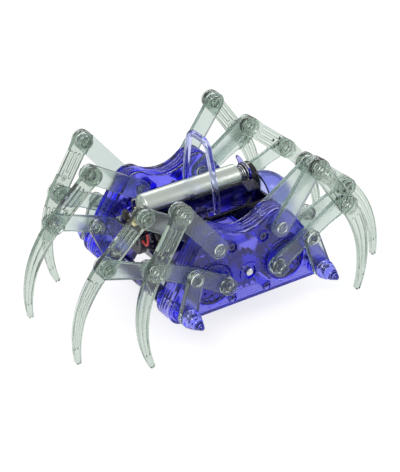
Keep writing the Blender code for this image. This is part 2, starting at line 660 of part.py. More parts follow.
def bail():
    """A loop of round bar over the battery, standing on the tub's two side walls."""
    half = [Vector((BAIL_FOOT_Y, TUB_TOP + GAP)), Vector((BAIL_FOOT_Y, BAIL_KNEE))]
    top = BAIL_TOP - BAIL_R
    bend = (BAIL_TOP_Y - BAIL_BEND_R, top - BAIL_BEND_R)
    half += arc(bend, BAIL_BEND_R, math.radians(12), math.pi / 2, 5)
    path = half + [Vector((-p.x, p.y)) for p in reversed(half)]
    bm = bmesh.new()
    rings = []
    for i, point in enumerate(path):
        before, after = path[max(i - 1, 0)], path[min(i + 1, len(path) - 1)]
        normal = towards(heading(before, after) + math.pi / 2)
        ring = []
        for k in range(PIN_STEPS):
            across, beside = towards(2 * math.pi * k / PIN_STEPS, BAIL_R)
            ring.append(bm.verts.new((beside, point.x + normal.x * across, point.y + normal.y * across)))
        rings.append(ring)
    for one, two in zip(rings, rings[1:]):
        for i in range(PIN_STEPS):
            j = (i + 1) % PIN_STEPS
            bm.faces.new((one[i], one[j], two[j], two[i]))
    bm.faces.new(rings[0])
    bm.faces.new(rings[-1])
    return object_from(bm, "bail")


def switch_knob():
    """A ridged slider that moves across the rear shelf."""
    ridged = [(-1.6, 0), (-1.6, 1.0), (-1.1, 1.0), (-1.1, 3.0), (-0.8, 3.4), (-0.4, 3.0), (0, 3.4),
              (0.4, 3.0), (0.8, 3.4), (1.1, 3.0), (1.1, 1.0), (1.6, 1.0), (1.6, 0)]
    return prism("knob", [Vector(p) * MM for p in ridged], -1.4 * MM, 1.4 * MM, across="x")


def side_axle():
    return lathe("axle", [(-SIDE_AXLE_HALF, SIDE_AXLE_R), (SIDE_AXLE_HALF, SIDE_AXLE_R)], HOLE_STEPS)


def horn_cap(side):
    """A ringed cap on the side axle's end that narrows to a blunt point."""
    bore = SIDE_AXLE_R + GAP
    rings = [(3.2 * MM, bore), (0.0, bore), (0.0, 4.0 * MM)]
    count = 7
    for i in range(1, count + 1):
        share = i / count
        waist = 0.35 * MM if i % 2 else 0.0
        radius = HORN_TIP_R + (HORN_R - HORN_TIP_R) * math.sqrt(1 - share**2) - waist * (1 - share)
        rings.append((HORN_L * share, radius, 0.0, HORN_LIFT * share**2))
    return lathe("horn", [(side * ring[0], *ring[1:]) for ring in rings], HOLE_STEPS)


# ---------------------------------------------------------------- assembly

def clear_scene():
    for obj in list(bpy.data.objects):
        bpy.data.objects.remove(obj, do_unlink=True)


def build_sides():
    for name, side in SIDES.items():
        blue = clear_plastic(COBALT)
        middle = (0, side * CASING_Y, AXLE_Z)
        finish(side_cover(side), f"side_cover_{name}", blue, None, middle)
        finish(inner_frame(side), f"inner_frame_{name}", blue, None, middle)
        finish(axle_gear(), f"axle_gear_{name}", clear_plastic(COBALT), None, middle)
        for end_name, end in ENDS.items():
            build_corner(name, end_name)
            place = (end * LOWER_PIVOT.x, side * (CASING_Y + LEG_OUT + GAP), AXLE_Z + LOWER_PIVOT.y)
            finish(horn_cap(side), f"horn_cap_{name}_{end_name}", blue, None, place)


def build_middle():
    axle = (0, 0, AXLE_Z)
    finish(drive_axle(), "drive_axle", (STEEL, 0.25, 1.0), None, axle)
    finish(worm_wheel(), "worm_wheel", (CREAM, 0.4), None, (0, MOTOR_Y, AXLE_Z))
    finish(worm_shaft(), "worm_shaft", (BRASS, 0.3, 1.0), None, (0, MOTOR_Y, AXLE_Z + WORM_Z))
    finish(motor(), "motor", (STEEL, 0.3, 1.0), None, (0, MOTOR_Y, AXLE_Z + WORM_Z))
    finish(tub(), "tub", clear_plastic(COBALT), None, axle)
    cell = (0, 0, AXLE_Z + BATTERY_Z)
    finish(battery_holder(), "battery_holder", clear_plastic(DARK_BLUE), None, cell)
    finish(battery(), "battery", (JACKET, 0.35, 0.9), None, cell)
    finish(positive_contact(), "positive_contact", (BRASS, 0.3, 1.0), None, cell)
    finish(negative_plate(), "negative_plate", (BRASS, 0.3, 1.0), None, cell)
    finish(contact_spring(), "contact_spring", (STEEL, 0.25, 1.0), None, cell)
    finish(bail(), "bail", clear_plastic(PALE_BLUE), None, (BAIL_X, 0, AXLE_Z))
    shelf_top = AXLE_Z + TUB_TOP + 2 * GAP + SHELF
    finish(switch_knob(), "switch_knob", (BLACK, 0.5), None, (SWITCH_X, SWITCH_Y, shelf_top))
    for name, end in ENDS.items():
        place = (end * LOWER_PIVOT.x, 0, AXLE_Z + LOWER_PIVOT.y)
        finish(side_axle(), f"side_axle_{name}", (STEEL, 0.25, 1.0), None, place)


clear_scene()
build_sides()
build_middle()
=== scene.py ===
"""Looks and fine shapes of the eight-legged walking robot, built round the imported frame.

Lengths are in millimetres, and piece() turns them into the frame's metres. +X is the way the robot walks
and +Z is up. Every place comes from the frame: the joints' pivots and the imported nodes' boxes.
"""

import json
import math

import bmesh
import bpy
from mathutils import Matrix, Vector


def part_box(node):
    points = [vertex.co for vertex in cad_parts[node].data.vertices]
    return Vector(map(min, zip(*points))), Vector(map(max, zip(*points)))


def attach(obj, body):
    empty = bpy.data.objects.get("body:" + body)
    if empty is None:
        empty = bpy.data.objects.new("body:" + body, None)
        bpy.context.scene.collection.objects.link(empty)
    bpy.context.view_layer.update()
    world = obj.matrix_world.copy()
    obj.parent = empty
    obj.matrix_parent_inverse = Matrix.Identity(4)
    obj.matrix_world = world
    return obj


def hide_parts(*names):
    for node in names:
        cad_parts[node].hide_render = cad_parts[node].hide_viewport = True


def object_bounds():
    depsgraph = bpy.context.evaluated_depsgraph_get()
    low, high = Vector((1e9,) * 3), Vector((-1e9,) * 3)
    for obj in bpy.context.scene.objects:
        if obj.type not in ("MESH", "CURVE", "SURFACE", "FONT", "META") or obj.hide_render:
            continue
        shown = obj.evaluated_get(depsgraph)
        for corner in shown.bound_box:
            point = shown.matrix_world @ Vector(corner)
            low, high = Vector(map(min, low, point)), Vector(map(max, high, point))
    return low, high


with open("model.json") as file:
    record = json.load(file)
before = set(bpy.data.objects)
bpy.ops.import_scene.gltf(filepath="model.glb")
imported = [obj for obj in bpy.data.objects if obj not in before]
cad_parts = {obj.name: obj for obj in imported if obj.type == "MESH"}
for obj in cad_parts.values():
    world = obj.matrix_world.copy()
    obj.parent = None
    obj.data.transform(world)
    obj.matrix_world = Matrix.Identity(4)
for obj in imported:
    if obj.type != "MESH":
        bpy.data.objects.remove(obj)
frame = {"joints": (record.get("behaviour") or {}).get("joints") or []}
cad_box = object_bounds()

MM = 0.001

SIDES = {"right": -1, "left": 1}
ENDS = {"front": 1, "rear": -1}
ROWS = ("outer", "inner")

pivots = {joint["name"]: Vector(joint["pos_m"]) / MM for joint in frame["joints"] if joint.get("pos_m")}
AXLE_Z = pivots["drive_axle_turn"].z
CASING_Y = abs(pivots["crank_right_front_turn"].y)

# Layers, measured from a casing's middle plane
PLATE_IN, PLATE_OUT = 3.5, 5.0
ROD_IN, ROD_OUT = 5.5, 7.7
LEG_IN, LEG_OUT = 8.1, 10.5
EYE_OUT, CAP_OUT = 10.0, 11.4
GAP = 0.3
SEAM = 0.04  # between two closed shells of one moulding
INSIDE = 0.02  # how far a round part stays inside its packed box

# Linkage, as lengths between pivots and radii
ROD_NEAR, LOWER_ROCKER = 17.0, 15.4
LEG_UPPER, UPPER_ROCKER = 23.8, 26.9
CLAW, CLAW_TURN, CLAW_STEPS = 39.3, math.radians(26.5), 22
PIN_R, PIVOT_HOLE_R, OPEN_HOLE_R, SIDE_HOLE_R = 1.4, 1.7, 2.15, 1.9
HEAD_R, HEAD_IN = 2.6, 4.4

# Bars, as half widths
LEG_TOP_R, LEG_R, ANKLE_R, CLAW_ROOT_R, TIP_R = 4.05, 3.7, 4.0, 3.6, 1.16
ROD_R = [3.6, 3.3, 3.4, 3.3, 3.9]
BAR_EDGE = (0.2, 0.25)
LANE_R, LANE_OFFSET, LANE_DEPTH = 0.72, 2.15, 0.9
PIP_FROM_ANKLE = 6.3

# Casing
UPPER_LOBE_R, LOWER_LOBE_R, WALL = 7.0, 5.5, 1.0
SHOULDER = Vector((28.0, 8.6))
LIP_ANGLE = math.radians(38.0)
WINDOW_R, DISC_R, AXLE_HOLE_R = 8.8, 8.5, 1.8
RIM_BACK, BOSS_OUT = -2.7, 5.35
BOSSES = ((7.2, 13.2, 2.6), (7.9, -9.0, 2.1))  # x, height over the drive axle and radius

# Crank wheel
CRANK_TEETH, AXLE_TEETH, GEAR_HALF = 24, 18, 2.2

# Horn cap
HORN_R, HORN_TIP_R, HORN_BORE, HORN_STEPS, HORN_RINGS = 3.95, 1.0, 3.2, 30, 4

# Battery holder, with heights over the battery's axis
TROUGH_WALL, TROUGH_TOP = 1.25, 0.85
CHEEK_OUT, CHEEK_REAR, CHEEK_POST, CHEEK_TOP, POST_TOP = 7.58, -8.6, 1.6, 0.7, 2.8
BLOCK_R, BLOCK_TOP, BLOCK_THICK = 7.0, 4.2, 3.2
SHELF_THICK, SHELF_Y = 1.3, 9.0

# Middle body, with heights over the drive axle
TUB_X, TUB_Y, TUB_WALL = 26.0, 12.4, 1.5
TUB_FLOOR, TUB_TOP, BELLY_X = 0.3, 14.8, 9.5
SLEEVE, SLEEVE_R = 18.6, 3.25
HOOD_X, HOOD_Z, HOOD_FOOT = 27.0, 7.0, 0.35
HOOD_WIDE, HOOD_HIGH, HOOD_WALL = 10.95, 12.95, 1.2
HOOD_TURNS, HOOD_RISES = 28, 16

# Bail, spring and leads
BAIL_KNEE, BAIL_TOP_Y, BAIL_BEND_R, BAIL_LEAN, BAIL_SOFT = 24.0, 7.4, 4.2, math.radians(12), 3.0
SPRING_WIRE, SPRING_TURNS, SPRING_STEPS, SPRING_R, SPRING_GROWTH = 0.3, 3.5, 110, 1.9, 1.9
LEAD_R = 0.55


# ---- flat shapes

def towards(angle, length=1.0):
    return Vector((math.cos(angle), math.sin(angle))) * length


def heading(start, end):
    return math.atan2(end.y - start.y, end.x - start.x)


def meeting_point(p, p_length, q, q_length, side):
    """Where two links from p and q meet, on the left (+1) or right (-1) of the line from p to q."""
    span = (q - p).length
    along = (span**2 + p_length**2 - q_length**2) / (2 * span)
    across = math.sqrt(p_length**2 - along**2)
    line = (q - p) / span
    return p + line * along + Vector((-line.y, line.x)) * (side * across)


def arc(centre, radius, start, end, steps):
    turn = (end - start) / steps
    return [Vector(centre) + towards(start + i * turn, radius) for i in range(steps + 1)]


def disc(centre, radius, steps=32):
    """A circle, as a function of how far its edge is drawn in."""
    return lambda inset: arc(centre, radius - inset, 0, 2 * math.pi, steps)[:-1]


def offset_path(path, offsets):
    """A path with each point moved to its left by its own offset."""
    moved = []
    for i, point in enumerate(path):
        before, after = path[max(i - 1, 0)], path[min(i + 1, len(path) - 1)]
        moved.append(point + towards(heading(before, after) + math.pi / 2, offsets[i]))
    return moved


def strap(path, half_widths, cap_steps=9):
    """A bar with round ends along a path, as a function of how far its edge is drawn in."""
    first, last = heading(path[1], path[0]), heading(path[-2], path[-1])
    quarter = math.pi / 2

    def loop(inset):
        widths = [width - inset for width in half_widths]
        left, right = offset_path(path, widths), offset_path(path, [-width for width in widths])
        near_cap = arc(path[0], widths[0], first - quarter, first + quarter, cap_steps)
        far_cap = arc(path[-1], widths[-1], last - quarter, last + quarter, cap_steps)
        return near_cap + right[1:-1] + far_cap + left[-2:0:-1]
    return loop


def rounded_box(low, high, corner=0.6, steps=4):
    """A rectangle with round corners, as a function of how far its edge is drawn in."""
    corners = ((high[0], high[1], 1, 1), (low[0], high[1], -1, 1),
               (low[0], low[1], -1, -1), (high[0], low[1], 1, -1))

    def loop(inset):
        radius = max(corner - inset, 0.05)
        points = []
        for quarter, (x, y, sx, sy) in enumerate(corners):
            centre = (x - sx * (inset + radius), y - sy * (inset + radius))
            points += arc(centre, radius, quarter * math.pi / 2, (quarter + 1) * math.pi / 2, steps)
        return points
    return loop


def centred_box(half_x, half_y, corner, steps=4):
    return rounded_box((-half_x, -half_y), (half_x, half_y), corner, steps)


def tangent_angle(point, centre, radius, side):
    away = Vector(point) - Vector(centre)
    return math.atan2(away.y, away.x) + side * math.acos(radius / away.length)


def casing_outline(upper_pivot, lower_pivot):
    """Two upper lobes with a hollow between them and two lower lobes."""
    def loop(inset):
        upper_r, lower_r = UPPER_LOBE_R - inset, LOWER_LOBE_R - inset
        corner = SHOULDER - towards(math.radians(33), inset)
        start = math.pi / 2 + LIP_ANGLE
        upper = arc(upper_pivot, upper_r, start, tangent_angle(corner, upper_pivot, upper_r, 1), 16)
        lower = arc(lower_pivot, lower_r, tangent_angle(corner, lower_pivot, lower_r, -1), -math.pi / 2, 14)
        hollow_r = upper[0].x / math.sin(LIP_ANGLE)
        centre = Vector((0, upper[0].y + hollow_r * math.cos(LIP_ANGLE)))
        hollow = arc(centre, hollow_r, -math.pi / 2, LIP_ANGLE - math.pi / 2, 12)[:-1]
        half = hollow + upper + [corner] + lower
        return half + [Vector((-p.x, p.y)) for p in half[:0:-1]]
    return loop


def gear_outline(teeth, module, centre, first_tooth):
    pitch_r = teeth * module / 2
    step = 2 * math.pi / teeth
    root, crest = pitch_r - 1.1 * module, pitch_r + 0.75 * module
    flank = ((-0.33, root), (-0.20, pitch_r), (-0.10, crest), (0.10, crest), (0.20, pitch_r), (0.33, root))

    def loop(inset):
        return [centre + towards(first_tooth + (i + share) * step, radius - inset)
                for i in range(teeth) for share, radius in flank]
    return loop


def flat_sided(half_width, half_height):
    """A circle cut flat at its top and bottom, as a function of how far its edge is drawn in."""
    def loop(inset):
        radius = half_width - inset
        turn = math.asin((half_height - inset) / radius)
        return (arc((0, 0), radius, -turn, turn, 12)
                + arc((0, 0), radius, math.pi - turn, math.pi + turn, 12))
    return loop


# ---- profiles

def rounded(start, end, first_r, last_r, steps=4):
    """Edge profile (inset, level) of a plate from its first face to its last, with both edges rounded."""
    way = 1 if end > start else -1
    quarter = [math.pi / 2 * i / steps for i in range(steps + 1)]
    one = [(first_r * (1 - math.sin(a)), start + way * first_r * (1 - math.cos(a))) for a in quarter]
    two = [(last_r * (1 - math.cos(a)), end - way * last_r * (1 - math.sin(a))) for a in quarter]
    return one + two


def raised(base, top, edge=0.25, root=0.12):
    """Profile of a boss that stands on a face."""
    way = 1 if top > base else -1
    quarter = [math.pi / 6 * i for i in range(4)]
    return ([(-root, base), (0.0, base + way * root)]
            + [(edge * (1 - math.cos(a)), top - way * edge * (1 - math.sin(a))) for a in quarter])


def sunk(face, bottom, lip=0.12):
    """Profile of a pocket in a face."""
    way = 1 if bottom > face else -1
    return [(0.0, face), (lip * 0.7, face + way * lip * 0.4), (lip, face + way * lip),
            (lip * 1.5, bottom - way * lip * 0.7), (lip * 2.4, bottom)]


def bore(start, end, lip=0.15):
    """Profile of a hole through a plate, slightly flared at both faces."""
    way = 1 if end > start else -1
    return [(-lip, start), (0.0, start + way * lip), (0.0, end - way * lip), (-lip, end)]


def bored(centre, radius, start, end):
    return disc(centre, radius, 28), bore(start, end)


def peg(base, tip):
    """Profile of a pin that stands on a face and has a chamfered tip."""
    way = 1 if tip > base else -1
    return [(-0.15, base), (0.0, base + way * 0.15), (0.0, tip - way * 0.2), (0.2, tip)]


# ---- solids

def join(bm, rings):
    """Smooth faces from each ring to the next."""
    for one, two in zip(rings, rings[1:]):
        for i in range(len(one)):
            j = (i + 1) % len(one)
            bm.faces.new((one[i], one[j], two[j], two[i])).smooth = True


def skin(bm, place, shape, profile):
    """A wall lofted along a profile. Returns its first and last rings."""
    rings = [[bm.verts.new(place(point, level)) for point in shape(inset)] for inset, level in profile]
    join(bm, rings)
    return rings[0], rings[-1]


def lid(bm, rings):
    """Fills the flat area between an outer ring and the rings inside it."""
    edges = []
    for ring in rings:
        for pair in zip(ring, ring[1:] + ring[:1]):
            edges.append(bm.edges.get(pair) or bm.edges.new(pair))
    filled = bmesh.ops.triangle_fill(bm, use_beauty=True, edges=edges)
    for part in filled["geom"]:
        if isinstance(part, bmesh.types.BMFace):
            part.smooth = False


def grow(bm, place, shape, profile, inner=()):
    """A closed boss or pocket. Returns the ring where it leaves its face."""
    first, last = skin(bm, place, shape, profile)
    lid(bm, [last] + [grow(bm, place, *feature) for feature in inner])
    return first


def plate(bm, place, shape, profile, far=(), near=(), through=()):
    """A closed plate with features on its last (far) and first (near) faces and holes from far to near."""
    first, last = skin(bm, place, shape, profile)
    holes = [skin(bm, place, *hole) for hole in through]
    lid(bm, [last] + [hole[0] for hole in holes] + [grow(bm, place, *feature) for feature in far])
    lid(bm, [first] + [hole[1] for hole in holes] + [grow(bm, place, *feature) for feature in near])


def standing_cap(bm, place, centre, profile, inner):
    """A ringed cap as its own clear shell, just off the face that it stands on."""
    plate(bm, place, disc(centre, 0, 44), [(-radius, level) for radius, level in profile], far=inner)


def lathe(bm, place, rings, steps=40):
    """A closed turned body from (level, radius) pairs."""
    plate(bm, place, disc((0, 0), 0, steps), [(-radius, level) for level, radius in rings])


def hollow_tube(bm, place, rings, steps=40):
    """A tube: the outer wall from the first to the last ring, closed by a straight bore."""
    shape = disc((0, 0), 0, steps)
    loops = [[bm.verts.new(place(point, level)) for point in shape(-radius)] for level, radius in rings]
    join(bm, loops + loops[:1])


def tube(bm, path, radius, steps=16):
    """A round bar along a path of 3-D points."""
    rings, across = [], None
    for i, point in enumerate(path):
        ahead = (path[min(i + 1, len(path) - 1)] - path[max(i - 1, 0)]).normalized()
        across = across or ahead.orthogonal()
        across = (across - ahead * across.dot(ahead)).normalized()
        beside = ahead.cross(across)
        spots = arc((0, 0), radius, 0, 2 * math.pi, steps)[:-1]
        rings.append([bm.verts.new(point + across * spot.x + beside * spot.y) for spot in spots])
    join(bm, rings)
    bm.faces.new(rings[0])
    bm.faces.new(rings[-1])


def second_look(bm, before):
    """Gives every face made since then the piece's second look."""
    for face in bm.faces:
        if face not in before:
            face.material_index = 1


def add_object(name, data):
    added = bpy.data.objects.new(name, data)
    bpy.context.scene.collection.objects.link(added)
    return added


def piece(bm, name, look, body, nodes=(), other_look=None):
    """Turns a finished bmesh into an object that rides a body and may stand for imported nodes."""
    bmesh.ops.recalc_face_normals(bm, faces=bm.faces)
    curved = [face.smooth for face in bm.faces]
    mesh = bpy.data.meshes.new(name)
    bm.to_mesh(mesh)
    bm.free()
    mesh.transform(Matrix.Scale(MM, 4))
    mesh.set_sharp_from_angle(angle=math.radians(50))
    mesh.polygons.foreach_set("use_smooth", curved)
    for one in (look, other_look):
        if one:
            mesh.materials.append(one)
    obj = add_object(name, mesh)
    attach(obj, body)
    if nodes:
        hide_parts(*nodes)


def along_x(y, z):
    return lambda point, level: Vector((level, y + point[0], z + point[1]))


def along_y(x, z, way=1):
    return lambda point, level: Vector((x + point[0], way * level, z + point[1]))


def along_z(point, level):
    return Vector((point[0], point[1], level))


def box_of(node):
    """The low corner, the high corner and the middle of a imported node's box."""
    low, high = (Vector(corner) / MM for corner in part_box(node))
    return low, high, (low + high) / 2


# ---- leg linkage

def ringed_cap(bm, place, centre, radius, base, top):
    """The dished, ringed cover of a pivot, with small bumps round its middle. A clear shell of its own."""
    floor, ring_top = top - 0.45, top - 0.05
    bumps = [(disc(centre + towards(2 * math.pi * i / 9, 0.62 * radius), 0.1 * radius, 8),
              raised(floor, floor + 0.3, 0.1, 0.05)) for i in range(9)]
    middle = (disc(centre, 0.4 * radius, 24), raised(floor, ring_top),
              [(disc(centre, 0.2 * radius, 16), sunk(ring_top, floor - 0.7))])
    dish = (disc(centre, 0.82 * radius, 36), sunk(top, floor, 0.1), bumps + [middle])
    plate(bm, place, disc(centre, radius, 40), rounded(base + SEAM, top, 0.1, 0.3), far=[dish])


def rivet(centre, start, end):
    """A pin from a plate's inner face that ends in a wider head."""
    neck, wider = end + 0.8, PIN_R - HEAD_R
    return (disc(centre, PIN_R, 24), [(-0.15, start), (0.0, start - 0.15), (0.0, neck), (wider, neck),
                                      (wider, end + 0.2), (wider + 0.2, end)])


def claw_line(shoulder, ankle):
    """Points along the claw's curve, from the ankle to the middle of its tip."""
    back = heading(shoulder, ankle)
    radius = CLAW / (2 * math.sin(CLAW_TURN))
    centre = ankle + towards(back - math.pi / 2, radius)
    return arc(centre, radius, back + math.pi / 2, back + math.pi / 2 - 2 * CLAW_TURN, CLAW_STEPS)


def leg_lanes(shoulder, span, claw, taper):
    """Three sunk lanes down the upper leg and two down the claw."""
    floor = LEG_OUT - LANE_DEPTH
    lanes = []
    for offset, end in ((-LANE_OFFSET, 0.70), (0.0, 0.60), (LANE_OFFSET, 0.70)):
        line = offset_path([shoulder + span * share for share in (0.27, 0.45, end)], [offset] * 3)
        lanes.append((strap(line, [LANE_R] * 3, 5), sunk(LEG_OUT, floor)))
    path, widths = claw[4:-3], taper[4:-3]
    for side in (-0.40, 0.40):
        line = offset_path(path, [side * width for width in widths])
        lanes.append((strap(line, [0.24 * width for width in widths], 4), sunk(LEG_OUT, floor, 0.08)))
    return lanes


def add_leg(place, shoulder, ankle, name, look):
    """An upper leg and its claw in one plate, with riveted pivots under ringed caps."""
    claw, span = claw_line(shoulder, ankle), ankle - shoulder
    path = [shoulder, shoulder + span * 0.2, shoulder + span * 0.8] + claw
    taper = [TIP_R + (CLAW_ROOT_R - TIP_R) * (1 - i / CLAW_STEPS) ** 0.9 for i in range(CLAW_STEPS + 1)]
    taper[0] = ANKLE_R
    spot, pip_top = shoulder + span * (1 - PIP_FROM_ANKLE / LEG_UPPER), LEG_OUT + 0.35
    pip = (disc(spot, 1.2, 20), raised(LEG_OUT, pip_top, 0.12),
           [(disc(spot, 0.7, 16), sunk(pip_top, LEG_OUT - LANE_DEPTH))])
    bm = bmesh.new()
    plate(bm, place, strap(path, [LEG_TOP_R, LEG_R, LEG_R] + taper, 12), rounded(LEG_IN, LEG_OUT, 0.3, 0.4),
          far=leg_lanes(shoulder, span, claw, taper) + [pip],
          near=[rivet(point, LEG_IN, HEAD_IN) for point in (shoulder, ankle)])
    for point in (shoulder, ankle):
        ringed_cap(bm, place, point, 3.9, LEG_OUT, CAP_OUT)
    piece(bm, f"{name}_shape", look, name, [name])


def crank_eye(bm, place, pin):
    """The deep ringed eye over the crank pin."""
    floor, step, ring_top = EYE_OUT - 1.3, EYE_OUT - 0.6, EYE_OUT - 0.1
    core = (disc(pin, 0.9, 20), sunk(ring_top, EYE_OUT - 1.2))
    ring = (disc(pin, 1.55, 28), raised(floor, ring_top), [core])
    well = (disc(pin, 2.9, 36), sunk(EYE_OUT, step), [(disc(pin, 2.3, 32), sunk(step, floor), [ring])])
    standing_cap(bm, place, pin, [(3.5, ROD_OUT + SEAM), (3.5, 8.2), (3.3, 8.4), (3.3, 8.8), (3.5, 9.0),
                                  (3.5, EYE_OUT - 0.3), (3.4, EYE_OUT - 0.1), (3.15, EYE_OUT)], [well])


def knee_stud(bm, place, knee):
    """The stud that holds the lower rocker, with a wide dished head."""
    under, dish_floor = LEG_OUT + GAP, CAP_OUT - 0.35
    hollow = (disc(knee, 1.1, 20), sunk(dish_floor, CAP_OUT - 1.6))
    dish = (disc(knee, 2.1, 28), sunk(CAP_OUT, dish_floor, 0.22), [hollow])
    standing_cap(bm, place, knee, [(PIN_R, ROD_OUT + SEAM), (PIN_R, under), (3.0, under),
                                   (3.0, CAP_OUT - 0.3), (2.9, CAP_OUT - 0.1), (2.65, CAP_OUT)], [dish])


def domed_cap(bm, place, centre):
    """The low cap of an upper rocker on the casing's lobe."""
    top = ROD_OUT + 0.8
    core = (disc(centre, 0.55, 16), sunk(top - 0.05, top - 0.4, 0.08))
    dome = (disc(centre, 1.05, 24), raised(top - 0.3, top - 0.05, 0.15), [core])
    dish = (disc(centre, 1.75, 32), sunk(top, top - 0.3, 0.15), [dome])
    standing_cap(bm, place, centre, [(2.55, ROD_OUT + SEAM), (2.55, top - 0.35), (2.45, top - 0.12),
                                     (2.2, top)], [dish])


def finish_bar(bm, bar, name, looks):
    """A frosted bar whose later faces are clear."""
    second_look(bm, bar)
    piece(bm, f"{name}_shape", looks["frost"], name, [name], looks["smoke"])


def add_rod(place, pin, knee, ankle, name, looks):
    """A flat frosted bar with a clear eye on the crank pin and a clear stud at the knee."""
    path = [pin, (pin + knee) / 2, knee, (knee + ankle) / 2, ankle]
    socket = (disc(pin, SIDE_HOLE_R, 28), [(-0.15, ROD_IN), (0.0, ROD_IN + 0.15), (0.0, ROD_OUT - 0.3)])
    bm = bmesh.new()
    plate(bm, place, strap(path, ROD_R, 12), rounded(ROD_IN, ROD_OUT, *BAR_EDGE), near=[socket],
          through=[bored(ankle, PIVOT_HOLE_R, ROD_OUT, ROD_IN)])
    bar = set(bm.faces)
    crank_eye(bm, place, pin)
    knee_stud(bm, place, knee)
    finish_bar(bm, bar, name, looks)


def add_upper_rocker(place, start, end, name, looks):
    """A broad flat frosted bar with a pin in the casing's lobe and a clear cap over it."""
    bm = bmesh.new()
    plate(bm, place, strap([start, end], [4.0, 3.9], 12), rounded(ROD_IN, ROD_OUT, *BAR_EDGE),
          near=[(disc(start, PIN_R, 24), peg(ROD_IN, 2.7))],
          through=[bored(end, OPEN_HOLE_R, ROD_OUT, ROD_IN)])
    bar = set(bm.faces)
    domed_cap(bm, place, start)
    finish_bar(bm, bar, name, looks)


def add_lower_rocker(place, start, end, name, looks):
    """A short flat bar with a bored hole at each end."""
    bm = bmesh.new()
    plate(bm, place, strap([start, end], [3.8, 3.3], 12), rounded(LEG_IN, LEG_OUT, *BAR_EDGE),
          through=[bored(start, SIDE_HOLE_R, LEG_OUT, LEG_IN), bored(end, OPEN_HOLE_R, LEG_OUT, LEG_IN)])
    piece(bm, f"{name}_shape", looks["frost"], name, [name])


def in_plane(point, end):
    """A pivot in its leg's own plane, with x outward and z up from the drive axle."""
    return Vector((end * point.x, point.z - AXLE_Z))


def layer_place(side, end, facing):
    """Takes a point in a leg's own plane, and a layer's distance from the casing's middle, to the world."""
    return lambda point, level: Vector((end * point[0], side * CASING_Y + facing * level, AXLE_Z + point[1]))


def add_linkage(side_name, end_name, row, looks):
    side, end = SIDES[side_name], ENDS[end_name]
    tag = f"{side_name}_{end_name}_{row}"
    pin, ankle, upper, lower = (in_plane(pivots[f"{kind}_{tag}_pivot"], end)
                                for kind in ("rod", "leg", "upper_rocker", "lower_rocker"))
    knee = meeting_point(pin, ROD_NEAR, lower, LOWER_ROCKER, 1)
    shoulder = meeting_point(ankle, LEG_UPPER, upper, UPPER_ROCKER, -1)
    place = layer_place(side, end, side if row == "outer" else -side)
    add_leg(place, shoulder, ankle, f"leg_{tag}", looks["smoke"])
    add_rod(place, pin, knee, ankle, f"rod_{tag}", looks)
    add_upper_rocker(place, upper, shoulder, f"upper_rocker_{tag}", looks)
    add_lower_rocker(place, lower, knee, f"lower_rocker_{tag}", looks)


def wheel_disc(bm, place, centre, pin):
    """One ringed face of a crank wheel, with a crank pin and a ring of pockets."""
    web, groove = PLATE_OUT - 0.3, PLATE_OUT - 0.55
    away, throw = heading(centre, pin), (pin - centre).length
    dots = [(disc(centre + towards(away + i * math.pi / 4, throw), 0.55, 12),
             sunk(web, PLATE_OUT - 1.0, 0.08)) for i in range(1, 8)]
    knob = (disc(centre, 1.0, 20), raised(groove, PLATE_OUT - 0.1, 0.15))
    hub = (disc(centre, 2.7, 32), raised(web, PLATE_OUT, 0.12),
           [(disc(centre, 1.9, 28), sunk(PLATE_OUT, groove), [knob])])
    stud = (disc(pin, 1.6, 24), peg(web, 8.0))
    plate(bm, place, disc(centre, DISC_R, 64), rounded(GEAR_HALF + 0.1, PLATE_OUT, 0.2, 0.3),
          far=[(disc(centre, 7.3, 56), sunk(PLATE_OUT, web), [hub, stud] + dots)])


def add_crank_wheel(side_name, end_name, looks):
    """A toothed wheel between two ringed discs, each with a crank pin."""
    side, end = SIDES[side_name], ENDS[end_name]
    name = f"crank_wheel_{side_name}_{end_name}"
    centre = in_plane(pivots[f"crank_{side_name}_{end_name}_turn"], end)
    module = 2 * centre.x / (CRANK_TEETH + AXLE_TEETH)
    teeth = gear_outline(CRANK_TEETH, module, centre, math.pi / CRANK_TEETH + math.pi)
    bm = bmesh.new()
    plate(bm, layer_place(side, end, side), teeth, [(0, -GEAR_HALF), (0, GEAR_HALF)])
    for row, facing in (("outer", side), ("inner", -side)):
        pin = in_plane(pivots[f"rod_{side_name}_{end_name}_{row}_pivot"], end)
        wheel_disc(bm, layer_place(side, end, facing), centre, pin)
    piece(bm, f"{name}_shape", looks["wheel"], name, [name])


# ---- casings

def casing_holes(upper, lower, crank):
    """Windows, rocker pivots and the side axles' collars, as (shape, profile) pairs."""
    out = PLATE_OUT + 0.25
    window = [(-1.05, PLATE_OUT), (-0.95, out), (-0.3, out), (0.0, PLATE_OUT), (0.0, PLATE_IN)]
    socket = [(-1.7, PLATE_OUT), (-1.6, out), (-0.2, out), (0.0, PLATE_OUT), (0.0, PLATE_IN)]
    collar = [(-2.15, PLATE_OUT), (-2.0, PLATE_OUT + 0.2), (-2.0, 6.2), (-1.75, 6.35), (-1.75, 6.75),
              (-2.0, 6.9), (-2.0, 7.6), (-1.8, 7.8), (0.0, 7.8), (0.0, PLATE_IN)]
    kinds = ((crank, WINDOW_R, 64, window), (upper, PIVOT_HOLE_R, 32, socket),
             (lower, SIDE_HOLE_R, 36, collar))
    return [(disc((end * pivot.x, pivot.y), radius, steps), profile)
            for end in (-1, 1) for pivot, radius, steps, profile in kinds]


def screw_spots():
    """The centre and the boss's radius of a casing's four screws."""
    return [(Vector((end * x, z)), radius) for end in (-1, 1) for x, z, radius in BOSSES]


def screw_boss(centre, radius):
    """A ringed boss with a deep pocket for a screw."""
    return (disc(centre, radius, 36), raised(PLATE_OUT, BOSS_OUT, 0.12, 0.08),
            [(disc(centre, radius - 0.55, 32), sunk(BOSS_OUT, PLATE_IN + 0.3, 0.1))])


